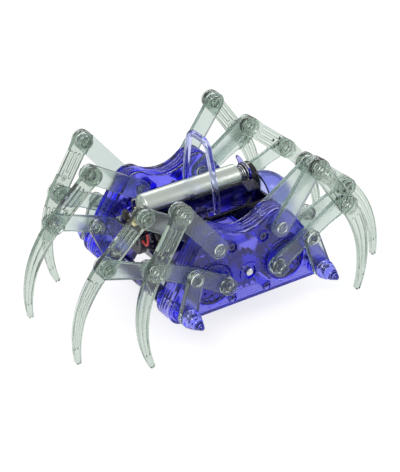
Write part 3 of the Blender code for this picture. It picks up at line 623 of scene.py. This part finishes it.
def cover_profile():
    """The cover's edge: inner wall, rim, grooved outer wall and rounded corner."""
    corner, groove = 0.45, 0.22
    profile = [(WALL + 0.2, PLATE_IN), (WALL, PLATE_IN - 0.2), (WALL, RIM_BACK + 0.15),
               (WALL - 0.15, RIM_BACK), (0.15, RIM_BACK), (0.0, RIM_BACK + 0.15)]
    for level in (-1.4, 0.4, 2.2):
        profile += [(0.0, level - 0.25), (groove, level), (0.0, level + 0.25)]
    turn = [math.pi / 8 * i for i in range(5)]
    return profile + [(corner * (1 - math.cos(a)), PLATE_OUT - corner * (1 - math.sin(a))) for a in turn]


def add_casing(side_name, looks):
    """A side's cover with its inner frame and screws."""
    side = SIDES[side_name]
    upper, lower, crank = (in_plane(pivots[f"{kind}_{side_name}_front_{end}"], 1) for kind, end in (
        ("upper_rocker", "outer_pivot"), ("lower_rocker", "outer_pivot"), ("crank", "turn")))
    outline, holes = casing_outline(upper, lower), casing_holes(upper, lower, crank)
    axle_hole = (disc((0, 0), AXLE_HOLE_R, 32),
                 [(-2.6, PLATE_OUT), (-2.5, BOSS_OUT), (-1.1, BOSS_OUT), (-1.0, BOSS_OUT - 0.1),
                  (-0.95, 4.0), (0.0, 3.95), (0.0, PLATE_IN)])
    bosses = [screw_boss(spot, radius) for spot, radius in screw_spots()]
    post = [(-0.15, PLATE_IN), (0.0, PLATE_IN - 0.15), (0.0, RIM_BACK + 0.1)]
    posts = [(disc(spot, radius - 0.3, 32), post) for spot, radius in screw_spots()]
    bm = bmesh.new()
    plate(bm, layer_place(side, 1, side), outline, cover_profile(), far=bosses, near=posts,
          through=holes + [axle_hole])
    piece(bm, f"side_cover_{side_name}_shape", looks["cobalt"], "chassis",
          [f"side_cover_{side_name}"])
    add_inner_frame(side_name, outline, holes, looks)
    add_screws(side_name, looks)


def add_inner_frame(side_name, outline, holes, looks):
    """The flat inner half of a casing, with two lugs that reach the middle body."""
    side = SIDES[side_name]
    low, high, _ = box_of(f"inner_frame_{side_name}")
    lug_end = CASING_Y - min(abs(low.y), abs(high.y))
    lugs = []
    for bottom, top in ((-9.5, -4.6), (8.1, 13.3)):
        pocket = (rounded_box((-5.0, bottom + 1.2), (5.0, top - 1.2)), sunk(lug_end, PLATE_OUT + 1.0))
        lugs.append((rounded_box((-6.4, bottom), (6.4, top)),
                     [(-0.2, PLATE_OUT), (0.0, PLATE_OUT + 0.2), (0.0, lug_end - 0.2), (0.2, lug_end)],
                     [pocket]))
    axle_hole = (disc((0, 0), AXLE_HOLE_R, 32), bore(PLATE_OUT, PLATE_IN))
    bm = bmesh.new()
    plate(bm, layer_place(side, 1, -side), outline, rounded(PLATE_IN, PLATE_OUT, 0.15, 0.4), far=lugs,
          through=holes + [axle_hole])
    piece(bm, f"inner_frame_{side_name}_shape", looks["cobalt"], "chassis",
          [f"inner_frame_{side_name}"])


def cross(centre, reach):
    """A cross-shaped slot, the same at every inset."""
    arm, half = reach * 0.62, reach * 0.16
    points, corners = [], [(half, half), (half, arm), (-half, arm)]
    for _ in range(4):
        points += [centre + Vector(corner) for corner in corners]
        corners = [(-y, x) for x, y in corners]
    return lambda inset: points


def add_screws(side_name, looks):
    """Cross-slotted screws, sunk in the cover's bosses."""
    side = SIDES[side_name]
    bottom, top = PLATE_IN + 0.35, PLATE_OUT - 0.4
    bm = bmesh.new()
    for spot, boss_r in screw_spots():
        radius = boss_r - 0.95
        plate(bm, layer_place(side, 1, side), disc(spot, radius, 28), rounded(bottom, top, 0.05, 0.2),
              far=[(cross(spot, radius), [(0, top), (0, top - 0.5)])])
    piece(bm, f"cover_screws_{side_name}", looks["screw"], "chassis")


def add_horn(side_name, end_name, looks):
    """A ringed cap that narrows to a blunt point, with a blind bore for the side axle."""
    name = f"horn_cap_{side_name}_{end_name}"
    pivot = pivots[f"lower_rocker_{side_name}_{end_name}_outer_pivot"]
    low, high, _ = box_of(name)
    start, length = min(abs(low.y), abs(high.y)), high.y - low.y
    rings = [(start + HORN_BORE, SIDE_HOLE_R), (start, SIDE_HOLE_R), (start, HORN_R - 0.25)]
    for i in range(HORN_STEPS + 1):
        share = i / HORN_STEPS
        radius = HORN_TIP_R + (HORN_R - HORN_TIP_R) * (1 - share**1.5) - 0.1 * share
        wave = 0.5 * (1 + math.cos(2 * math.pi * share * HORN_RINGS))
        rings.append((start + 0.2 + (length - 0.2) * share, radius - 0.55 * wave**5 * (1 - share)))
    bm = bmesh.new()
    lathe(bm, along_y(pivot.x, pivot.z, SIDES[side_name]), rings)
    piece(bm, f"{name}_shape", looks["horn"], "chassis", [name])


# ---- middle body

def add_axle(node, body, chamfer, looks):
    """A steel axle across the robot, with chamfered ends."""
    low, high, middle = box_of(node)
    half, radius = high.y, (high.x - low.x) / 2
    bm = bmesh.new()
    lathe(bm, along_y(middle.x, middle.z), [(-half, radius - chamfer), (0.3 - half, radius),
                                            (half - 0.3, radius), (half, radius - chamfer)], 32)
    piece(bm, f"{node}_shape", looks["steel"], body, [node])


def add_bail(looks):
    """A round bow over the battery: upright feet, leaning sides and a rounded top."""
    low, high, middle = box_of("bail")
    radius = (high.x - low.x) / 2 - INSIDE
    foot_y, top = high.y - radius - INSIDE, high.z - radius
    knee = Vector((foot_y, AXLE_Z + BAIL_KNEE))
    under = knee - Vector((0, BAIL_SOFT))
    bend = Vector((BAIL_TOP_Y - BAIL_BEND_R, top - BAIL_BEND_R))
    slope = (bend + towards(BAIL_LEAN, BAIL_BEND_R) - knee).normalized()
    half = [Vector((foot_y, low.z)), under]
    half += [under * (1 - t) ** 2 + knee * 2 * t * (1 - t) + (knee + slope * BAIL_SOFT) * t**2
             for t in (0.2, 0.4, 0.6, 0.8, 1.0)]
    half += arc(bend, BAIL_BEND_R, BAIL_LEAN, math.pi / 2, 12)
    path = half + [Vector((-p.x, p.y)) for p in reversed(half)]
    bm = bmesh.new()
    tube(bm, [Vector((middle.x, p.x, p.y)) for p in path], radius, 28)
    piece(bm, "bail_shape", looks["pale"], "chassis", ["bail"])


def add_battery(looks):
    """The cell, with its nub to the rear, rolled edges and a black seal round the nub."""
    low, high, middle = box_of("battery")
    r, rear, front = (high.z - low.z) / 2 - INSIDE, low.x, high.x
    end, nub_r, seal_r = rear + 1.2, 2.1, 3.1
    bm = bmesh.new()
    lathe(bm, along_x(middle.y, middle.z),
          [(rear, nub_r - 0.25), (rear + 0.2, nub_r), (end, nub_r), (end, 3.6), (end + 0.25, 3.8),
           (end + 0.25, r - 0.5), (end, r - 0.35), (end + 0.25, r - 0.05), (end + 0.8, r), (front - 0.7, r),
           (front - 0.25, r - 0.05), (front - 0.05, r - 0.35), (front - 0.25, r - 0.7), (front - 0.25, 3.4),
           (front, 3.2)], 64)
    piece(bm, "battery_shape", looks["cell"], "chassis", ["battery"])
    bm = bmesh.new()
    circle = arc((middle.y, middle.z), seal_r, 0, 2 * math.pi, 40)[:-1]
    tube(bm, [Vector((end + 0.35, point.x, point.y)) for point in circle], 0.3, 10)
    piece(bm, "battery_seal", looks["black"], "chassis")


def add_spring(looks):
    """A coil spring that widens towards the end block."""
    low, high, _ = box_of("contact_spring")
    axis_z = box_of("battery")[2].z
    rear, front = low.x + SPRING_WIRE, high.x - SPRING_WIRE
    path = []
    for i in range(SPRING_STEPS + 1):
        share = i / SPRING_STEPS
        spot = towards(2 * math.pi * SPRING_TURNS * share, SPRING_R + SPRING_GROWTH * share)
        path.append(Vector((rear + (front - rear) * share, spot.x, axis_z + spot.y)))
    bm = bmesh.new()
    tube(bm, path, SPRING_WIRE, 10)
    piece(bm, "contact_spring_shape", looks["steel"], "chassis", ["contact_spring"])


def add_trough(bm, place, inner_r, rear, front):
    """The half-round bed of the cell."""
    def section(inset):
        outer, inner, top = inner_r + TROUGH_WALL - inset, inner_r + inset, TROUGH_TOP - inset
        return ([Vector((-outer, top))] + arc((0, 0), outer, math.pi, 2 * math.pi, 24)
                + [Vector((outer, top)), Vector((inner, top))] + arc((0, 0), inner, 0, -math.pi, 24)
                + [Vector((-inner, top))])
    plate(bm, place, section, rounded(rear, front, 0.2, 0.2, 2))


def add_cheeks(bm, place, foot, inner_y, front):
    """Plates on both sides of the trough, each with a higher post at its rear."""
    def outline(inset):
        rear, step, end = CHEEK_REAR + inset, CHEEK_REAR + CHEEK_POST - inset, front - inset
        low, high = CHEEK_TOP - inset, POST_TOP - inset
        corners = ((rear, foot), (end, foot), (end, low), (step, low), (step, high), (rear, high))
        return [Vector(corner) for corner in corners]
    for side in (-1, 1):
        y0, y1 = sorted((side * inner_y, side * CHEEK_OUT))
        plate(bm, place, outline, rounded(y0, y1, 0.15, 0.15, 2))


def add_shelf(bm, low, front):
    """The rear shelf, with a long pocket on its right side."""
    top = low.z + SHELF_THICK
    pocket = (rounded_box((low.x + 1.4, -8.0), (front - 1.1, -3.6)), sunk(top, low.z + 0.7))
    plate(bm, along_z, rounded_box((low.x, -SHELF_Y), (front, SHELF_Y), 1.2),
          rounded(low.z, top, 0.15, 0.25), far=[pocket])


def add_end_block(bm, place, foot, rear, front):
    """The block behind the spring, with a round pocket for it."""
    def outline(inset):
        radius = BLOCK_R - inset
        return (arc((0, BLOCK_TOP - BLOCK_R), radius, 0, math.pi, 24)
                + [Vector((-radius, foot + inset)), Vector((radius, foot + inset))])
    plate(bm, place, outline, rounded(rear, front, 0.3, 0.5),
          near=[(disc((0, 0), 4.75, 36), sunk(rear, rear + 0.8))])


def add_clip(bm, place, middle):
    """The clip that leans from the end block's top towards the cell."""
    path = [Vector((middle + 0.3, 1.4)), Vector((middle - 0.2, 3.4)), Vector((middle - 1.3, 5.2))]
    plate(bm, place, strap(path, [1.1, 1.0, 0.7], 6), rounded(4.9, 5.7, 0.12, 0.12, 2))


def add_holder(looks):
    """Trough, cheeks, rear shelf, end block and clip round the battery."""
    low, high, _ = box_of("battery_holder")
    cell_low, cell_high, cell = box_of("battery")
    lengthwise, across = along_x(cell.y, cell.z), along_y(0, cell.z)
    inner_r, foot = (cell_high.z - cell_low.z) / 2 + GAP, low.z - cell.z + 0.1
    rear, block = cell_low.x + 0.35, high.x - BLOCK_THICK
    bm = bmesh.new()
    add_trough(bm, lengthwise, inner_r, rear, block - 0.05)
    add_cheeks(bm, across, foot, inner_r + TROUGH_WALL + 0.06, block - 0.1)
    add_shelf(bm, low, rear - 0.1)
    bed = set(bm.faces)
    add_end_block(bm, lengthwise, foot, block, high.x)
    add_clip(bm, across, (block + high.x) / 2)
    second_look(bm, bed)
    piece(bm, "battery_holder_shape", looks["trough"], "chassis", ["battery_holder"],
          looks["block"])


def add_sleeve(bm, centre):
    """A grooved tube round a side axle."""
    neck = SLEEVE_R - 0.35
    rings = [(-SLEEVE, SIDE_HOLE_R), (-SLEEVE, SLEEVE_R)]
    for i in range(-3, 4):
        middle = SLEEVE * i / 4
        rings += [(middle - 0.5, SLEEVE_R), (middle - 0.3, neck), (middle + 0.3, neck),
                  (middle + 0.5, SLEEVE_R)]
    hollow_tube(bm, along_y(centre.x, centre.z), rings + [(SLEEVE, SLEEVE_R), (SLEEVE, SIDE_HOLE_R)])


def add_ribs(bm, centre, end):
    """Two ribs from the tub's wall to a sleeve."""
    root = Vector((end * 24.6, 0.05))
    foot = Vector((centre.x - end * 2.4, centre.z - AXLE_Z + 3.3))
    for side in (-1, 1):
        y0, y1 = sorted((side * 7.2, side * 11.6))
        plate(bm, along_y(0, AXLE_Z), strap([foot, root], [1.5, 0.4], 8), rounded(y0, y1, 0.15, 0.15, 2))


def add_tub(looks):
    """Open box with a lower belly, sleeves for the side axles and a rounded hood in front."""
    low, high, _ = box_of("tub")
    floor, top, belly = AXLE_Z + TUB_FLOOR, AXLE_Z + TUB_TOP, low.z
    walls = [(0.3, floor), (0.0, floor + 0.3), (0.0, top - 0.3), (0.3, top), (TUB_WALL - 0.3, top),
             (TUB_WALL, top - 0.3), (TUB_WALL, floor + TUB_WALL + 0.4), (TUB_WALL + 0.4, floor + TUB_WALL)]
    under = (centred_box(BELLY_X, TUB_Y - 0.4, 1.0), [(0.0, floor), (0.0, belly + 0.4), (0.4, belly)])
    inside = (centred_box(BELLY_X - TUB_WALL, TUB_Y - TUB_WALL - 0.3, 0.8),
              [(0.0, floor + TUB_WALL), (0.0, belly + TUB_WALL + 0.3), (0.3, belly + TUB_WALL)])
    bm = bmesh.new()
    plate(bm, along_z, centred_box(TUB_X, TUB_Y, 2.4, 8), walls, far=[inside], near=[under])
    for end_name, end in ENDS.items():
        centre = box_of(f"side_axle_{end_name}")[2]
        add_sleeve(bm, centre)
        add_ribs(bm, centre, end)
    piece(bm, "tub_shape", looks["tub"], "chassis", ["tub"])
    add_hood(looks, high.x - HOOD_X - 0.05)


def hood_ring(long, shrink, rise):
    """Half a ring of the hood at an angle of rise, or its foot where the rise is negative."""
    level, share = AXLE_Z + HOOD_Z + (HOOD_HIGH - shrink) * math.sin(rise), math.cos(rise)
    if rise < 0:
        level, share = AXLE_Z + HOOD_FOOT + shrink, 1.0
    points = []
    for i in range(HOOD_TURNS + 1):
        ahead, beside = towards(math.pi * i / HOOD_TURNS - math.pi / 2, share)
        points.append(Vector((max(HOOD_X - 0.9, HOOD_X + (long - shrink) * ahead),
                              (HOOD_WIDE - shrink) * beside, level)))
    return points


def add_hood(looks, long):
    """A thin rounded shell in front of the tub, open to the rear."""
    lifts = [-1.0] + [math.pi / 2 * 0.97 * i / HOOD_RISES for i in range(HOOD_RISES + 1)]
    bm = bmesh.new()
    outer, inner = ([[bm.verts.new(p) for p in hood_ring(long, shrink, lift)] for lift in lifts]
                    for shrink in (0.0, HOOD_WALL))
    for sheet in (outer, inner):
        for one, two in zip(sheet, sheet[1:]):
            for i in range(HOOD_TURNS):
                bm.faces.new((one[i], one[i + 1], two[i + 1], two[i])).smooth = True
    for i in range(HOOD_TURNS):
        for k in (0, -1):
            bm.faces.new((outer[k][i], outer[k][i + 1], inner[k][i + 1], inner[k][i]))
    for k in range(len(lifts) - 1):
        for i in (0, HOOD_TURNS):
            bm.faces.new((outer[k][i], outer[k + 1][i], inner[k + 1][i], inner[k][i]))
    piece(bm, "hood_shape", looks["hood"], "chassis")


def add_motor(looks):
    """A flat-sided steel can with a black end cap, and its two leads."""
    low, high, middle = box_of("motor")
    half_w, half_h = (high.y - low.y) / 2, (high.z - low.z) / 2
    place, cap_x, front = along_x(middle.y, middle.z), low.x + 1.2, high.x
    bm = bmesh.new()
    plate(bm, place, flat_sided(half_w, half_h), rounded(cap_x + 3.0, front, 0.1, 0.6),
          far=[(disc((0, 0), 2.6, 28), sunk(front, front - 0.4))])
    piece(bm, "motor_can_shape", looks["steel"], "chassis", ["motor"])
    bump = (disc((0, 0), 2.35, 28), raised(cap_x, low.x, 0.2),
            [(disc((0, 0), 1.2, 20), sunk(low.x, low.x + 0.6))])
    slots = [(rounded_box((y - 0.9, -1.6), (y + 0.9, 1.6), 0.3), sunk(cap_x, cap_x + 0.6))
             for y in (-4.6, 4.6)]
    bm = bmesh.new()
    plate(bm, place, flat_sided(half_w - 0.25, half_h - 0.25), rounded(cap_x + 2.95, cap_x, 0.05, 0.5),
          far=[bump] + slots)
    piece(bm, "motor_end_cap", looks["black"], "chassis")
    add_leads(looks, low, middle.z)


def smooth_route(start, leaving, arriving, end, steps=36):
    """Points on one curve that leaves start towards leaving and reaches end from arriving."""
    return [start * (1 - t) ** 3 + leaving * (3 * t * (1 - t) ** 2) + arriving * (3 * t * t * (1 - t))
            + end * t**3 for t in (i / steps for i in range(steps + 1))]


def add_leads(looks, motor_low, motor_z):
    """Two insulated leads from the motor's end cap up into the holder."""
    holder_low, holder_high, _ = box_of("battery_holder")
    top = holder_low.z + 0.5
    root = Vector((motor_low.x + 2.4, motor_low.y + 0.6, motor_z))
    rear = Vector((root.x + 0.4, -6.0, top))
    front = Vector((holder_high.x - 1.8, -4.0, top))
    routes = (("positive_lead", "red", root + Vector((0, 0, 1.4)), (0, -5.0, -3.0), rear, (0, -3.5, -2.4)),
              ("negative_lead", "black", root + Vector((0.8, 0, -0.8)), (5.0, -7.5, -8.0), front,
               (-12.0, -6.0, -15.0)))
    for name, look, start, leave, end, arrive in routes:
        bm = bmesh.new()
        tube(bm, smooth_route(start, start + Vector(leave), end + Vector(arrive), end), LEAD_R, 12)
        piece(bm, name, looks[look], "chassis")


def add_knob(looks):
    """The switch knob: a flange, a stem and three ridges."""
    low, high, middle = box_of("switch_knob")
    half = (high - low) / 2 - Vector((INSIDE, INSIDE, 0))
    flange_top, stem_top = low.z + 1.0, high.z - 0.45

    def flat_box(half_x, half_y, corner, steps=4, y=0.0):
        y += middle.y
        return rounded_box((middle.x - half_x, y - half_y), (middle.x + half_x, y + half_y), corner, steps)

    ridges = [(flat_box(half.x - 0.5, 0.18, 0.12, 3, y), raised(stem_top, high.z - INSIDE, 0.1, 0.03))
              for y in (-0.7, 0.0, 0.7)]
    stem = (flat_box(half.x - 0.15, 1.1, 0.3), raised(flange_top, stem_top, 0.12, 0.1), ridges)
    bm = bmesh.new()
    plate(bm, along_z, flat_box(half.x, half.y, 0.4), rounded(low.z + 0.01, flange_top, 0.1, 0.15),
          far=[stem])
    piece(bm, "switch_knob_shape", looks["black"], "switch_knob", ["switch_knob"])


# ---- camera, floor and lights

CAMERA_PLACE = Vector((-298.08, -512.90, 360.49))
CAMERA_RIGHT = Vector((0.84997, -0.52452, -0.04925))
CAMERA_UP = Vector((0.29638, 0.39879, 0.86783))
CAMERA_LENS, SENSOR = 129.86, 36.0
FLOOR_HALF, FLOOR_DROP, FLOOR_WHITE, FLOOR_GLOW = 3000.0, 0.05, 0.36, 0.74
WORLD_STRENGTH, HORIZON, SKY = 0.72, (0.50, 0.51, 0.53, 1), (1.0, 1.0, 1.0, 1)
# Each lamp's place, width and height, and watts
LAMPS = {"key": ((-500, -350, 750), (450, 450), 3.6),
         "back": ((250, 750, 550), (700, 250), 1.6),
         "fill": ((800, -600, 500), (300, 600), 2.2)}


def add_camera():
    """Looks down on the robot from behind its right side."""
    data = bpy.data.cameras.new("camera")
    data.lens = CAMERA_LENS
    data.sensor_fit = "VERTICAL"
    data.sensor_height = SENSOR
    data.clip_start, data.clip_end = 0.01, 50.0
    camera = add_object("camera", data)
    turn = Matrix((CAMERA_RIGHT, CAMERA_UP, CAMERA_RIGHT.cross(CAMERA_UP))).transposed().to_4x4()
    camera.matrix_world = Matrix.Translation(CAMERA_PLACE * MM) @ turn
    bpy.context.scene.camera = camera


def add_floor():
    mesh = bpy.data.meshes.new("floor")
    half = FLOOR_HALF * MM
    corners = [(-half, -half, 0), (half, -half, 0), (half, half, 0), (-half, half, 0)]
    mesh.from_pydata(corners, [], [(0, 1, 2, 3)])
    floor = add_object("floor", mesh)
    floor.location.z = cad_box[0][2] - FLOOR_DROP * MM
    mat, tree, shader = new_material("floor_white")
    feed(tree, shader, {"Base Color": (FLOOR_WHITE, FLOOR_WHITE, FLOOR_WHITE, 1), "Roughness": 0.9,
                        "Specular IOR Level": 0.1, "Emission Color": (1, 1, 1, 1),
                        "Emission Strength": FLOOR_GLOW})
    mesh.materials.append(mat)


def add_lamp(name, place, size, power):
    """A soft rectangular lamp that faces the middle of the robot."""
    data = bpy.data.lights.new(name, "AREA")
    data.shape = "RECTANGLE"
    data.size, data.size_y = Vector(size) * MM
    data.energy = power
    lamp = add_object(name, data)
    lamp.location = Vector(place) * MM
    lamp.rotation_euler = (Vector((0, 0, AXLE_Z)) - Vector(place)).to_track_quat("-Z", "Y").to_euler()


def add_lights():
    """A pale sky that darkens towards the horizon, and three soft lamps."""
    world = bpy.data.worlds.new("studio")
    bpy.context.scene.world = world
    world.use_nodes = True
    tree = world.node_tree
    where = add_node(tree, "TexCoord").outputs["Generated"]
    height = add_node(tree, "SeparateXYZ", {0: where}).outputs["Z"]
    ramp = add_node(tree, "ValToRGB", {0: height})
    for stop, position, colour in zip(ramp.color_ramp.elements, (0.02, 0.60), (HORIZON, SKY)):
        stop.position, stop.color = position, colour
    feed(tree, tree.nodes["Background"], {"Color": ramp.outputs[0], "Strength": WORLD_STRENGTH})
    for name, (place, size, power) in LAMPS.items():
        add_lamp(name, place, size, power)
    bpy.context.scene.view_settings.view_transform = "Standard"


# ---- materials

SMOKE_TINT = (0.84, 0.885, 0.85)
LIGHT_THROUGH = (0.93, 0.93, 0.93, 1)
DEEPEST = 8.0  # plastic walls that a ray crosses before it goes straight on


def feed(tree, node, inputs):
    """Gives each input a value or another node's output."""
    for key, value in inputs.items():
        if isinstance(value, bpy.types.NodeSocket):
            tree.links.new(value, node.inputs[key])
        else:
            node.inputs[key].default_value = value


def add_node(tree, kind, inputs=None, **settings):
    node = tree.nodes.new(f"ShaderNode{kind}")
    for name, value in settings.items():
        setattr(node, name, value)
    feed(tree, node, inputs or {})
    return node


def new_material(name):
    mat = bpy.data.materials.new(name)
    mat.use_nodes = True
    return mat, mat.node_tree, mat.node_tree.nodes["Principled BSDF"]


def noise(tree, where, scale, detail=2.0):
    return add_node(tree, "TexNoise", {"Vector": where, "Scale": scale, "Detail": detail}).outputs[0]


def spread(tree, value, low, high):
    """A noise value read as a range."""
    return add_node(tree, "MapRange", {"Value": value, "From Min": 0.3, "From Max": 0.7, "To Min": low,
                                       "To Max": high}).outputs[0]


def two_tones(tree, value, one, two):
    return add_node(tree, "Mix", {0: value, 6: (*one, 1), 7: (*two, 1)}, data_type="RGBA").outputs[2]


def grain_bump(tree, height, strength, distance=0.2 * MM):
    return add_node(tree, "Bump", {"Height": height, "Strength": strength, "Distance": distance}).outputs[0]


def maths(tree, operation, *values):
    return add_node(tree, "Math", dict(enumerate(values)), operation=operation).outputs[0]


def sideways(tree, most):
    """Rises to its most on faces that look straight along y."""
    normal = add_node(tree, "TexCoord").outputs["Normal"]
    size = maths(tree, "ABSOLUTE", add_node(tree, "SeparateXYZ", {0: normal}).outputs["Y"])
    return add_node(tree, "MapRange", {"Value": size, "From Min": 0.9, "From Max": 0.99,
                                       "To Max": most}).outputs[0]


def let_light_in(tree, shader):
    """Shadow rays, rays from matt surfaces and rays that crossed many walls pass the plastic unbent."""
    path = add_node(tree, "LightPath").outputs
    either = maths(tree, "MAXIMUM", path["Is Shadow Ray"], path["Is Diffuse Ray"])
    deep = maths(tree, "GREATER_THAN", path["Transmission Depth"], DEEPEST)
    straight = maths(tree, "MAXIMUM", either, deep)
    open_side = add_node(tree, "BsdfTransparent", {"Color": LIGHT_THROUGH})
    mix = add_node(tree, "MixShader", {0: straight, 1: shader.outputs[0], 2: open_side.outputs[0]})
    feed(tree, tree.nodes["Material Output"], {"Surface": mix.outputs[0]})


def clear_plastic(name, absorb, density, roughness, tint, ripple=0.10, flat=0.0, milk=0.0):
    """Moulded clear plastic. Its body colour deepens with thickness, and lamps reach what is inside.

    Faces that look sideways are rougher by flat, as where a mould is etched. A share milk of the light
    is scattered back by the surface.
    """
    mat, tree, shader = new_material(name)
    where = add_node(tree, "TexCoord").outputs["Object"]
    flow = noise(tree, where, 130.0, 3.0)
    rough = spread(tree, flow, roughness * 0.75, roughness * 1.3)
    if flat:
        rough = maths(tree, "ADD", rough, sideways(tree, flat))
    feed(tree, shader, {"Transmission Weight": 1.0 - milk, "IOR": 1.49, "Roughness": rough,
                        "Base Color": two_tones(tree, flow, tint, [0.95 * c for c in tint]),
                        "Normal": grain_bump(tree, noise(tree, where, 420.0), ripple)})
    body = add_node(tree, "VolumeAbsorption", {"Color": (*absorb, 1), "Density": density})
    feed(tree, tree.nodes["Material Output"], {"Volume": body.outputs[0]})
    let_light_in(tree, shader)
    return mat


def solid_look(name, colour, roughness, metallic=0.0, darker=0.82, scale=380.0, bump=0.08):
    """Metal or opaque plastic with fine grain in its colour, gloss and surface."""
    mat, tree, shader = new_material(name)
    where = add_node(tree, "TexCoord").outputs["Object"]
    grain = noise(tree, where, scale, 4.0)
    feed(tree, shader, {"Metallic": metallic,
                        "Base Color": two_tones(tree, grain, colour, [darker * c for c in colour]),
                        "Roughness": spread(tree, grain, roughness * 0.8, roughness * 1.25),
                        "Normal": grain_bump(tree, noise(tree, where, 2.5 * scale), bump, 0.05 * MM)})
    return mat


def make_materials():
    return {
        "smoke": clear_plastic("smoke_clear", (0.60, 0.68, 0.62), 330.0, 0.05, SMOKE_TINT, milk=0.02),
        "frost": clear_plastic("smoke_frosted", (0.57, 0.68, 0.655), 265.0, 0.07, SMOKE_TINT,
                               flat=0.14, milk=0.025),
        "cobalt": clear_plastic("cobalt_clear", (0.11, 0.08, 0.97), 530.0, 0.04, (0.96, 0.96, 1.0),
                                ripple=0.14, flat=0.10),
        "wheel": clear_plastic("cobalt_wheel", (0.16, 0.10, 0.84), 520.0, 0.06, (0.95, 0.95, 1.0)),
        "horn": clear_plastic("cobalt_light", (0.40, 0.42, 0.93), 420.0, 0.06, (0.96, 0.96, 1.0)),
        "tub": clear_plastic("cobalt_deep", (0.20, 0.08, 0.62), 1000.0, 0.08, (0.95, 0.95, 1.0)),
        "pale": clear_plastic("pale_blue_clear", (0.42, 0.47, 0.93), 300.0, 0.06, (0.97, 0.97, 1.0)),
        "hood": clear_plastic("hood_clear", (0.20, 0.27, 0.86), 720.0, 0.08, (0.97, 0.97, 1.0)),
        "trough": clear_plastic("dark_blue_deep", (0.12, 0.07, 0.55), 1250.0, 0.10, (0.7, 0.7, 0.9)),
        "block": clear_plastic("dark_blue_end", (0.10, 0.08, 0.74), 1000.0, 0.06, (0.9, 0.9, 1.0)),
        "screw": solid_look("dark_screw", (0.10, 0.10, 0.22), 0.3, 1.0),
        "steel": solid_look("steel", (0.62, 0.63, 0.64), 0.25, 1.0),
        "brass": solid_look("brass", (0.75, 0.60, 0.28), 0.3, 1.0),
        "cell": solid_look("cell_jacket", (0.60, 0.65, 0.60), 0.33, 0.95, 0.93, 160.0, 0.03),
        "cream": solid_look("cream_plastic", (0.75, 0.72, 0.62), 0.45),
        "black": solid_look("black_plastic", (0.03, 0.03, 0.035), 0.4, 0.0, 0.6),
        "red": solid_look("red_insulation", (0.55, 0.05, 0.04), 0.4),
    }


CAD_LOOKS = {"axle_gear_left": "wheel", "axle_gear_right": "wheel", "worm_wheel": "cream",
             "worm_shaft": "steel", "positive_contact": "brass", "negative_plate": "steel"}


def dress_cad_nodes(looks):
    for name, key in CAD_LOOKS.items():
        for slot in bpy.data.objects[name].material_slots:
            slot.material = looks[key]


def build(looks):
    for side in SIDES:
        add_casing(side, looks)
        for end in ENDS:
            add_crank_wheel(side, end, looks)
            add_horn(side, end, looks)
            for row in ROWS:
                add_linkage(side, end, row, looks)
    add_axle("drive_axle", "drive_axle", 0.4, looks)
    for end in ENDS:
        add_axle(f"side_axle_{end}", "chassis", 0.3, looks)
    add_tub(looks)
    add_holder(looks)
    add_battery(looks)
    add_spring(looks)
    add_bail(looks)
    add_motor(looks)
    add_knob(looks)


looks = make_materials()
dress_cad_nodes(looks)
build(looks)
add_camera()
add_floor()
add_lights()
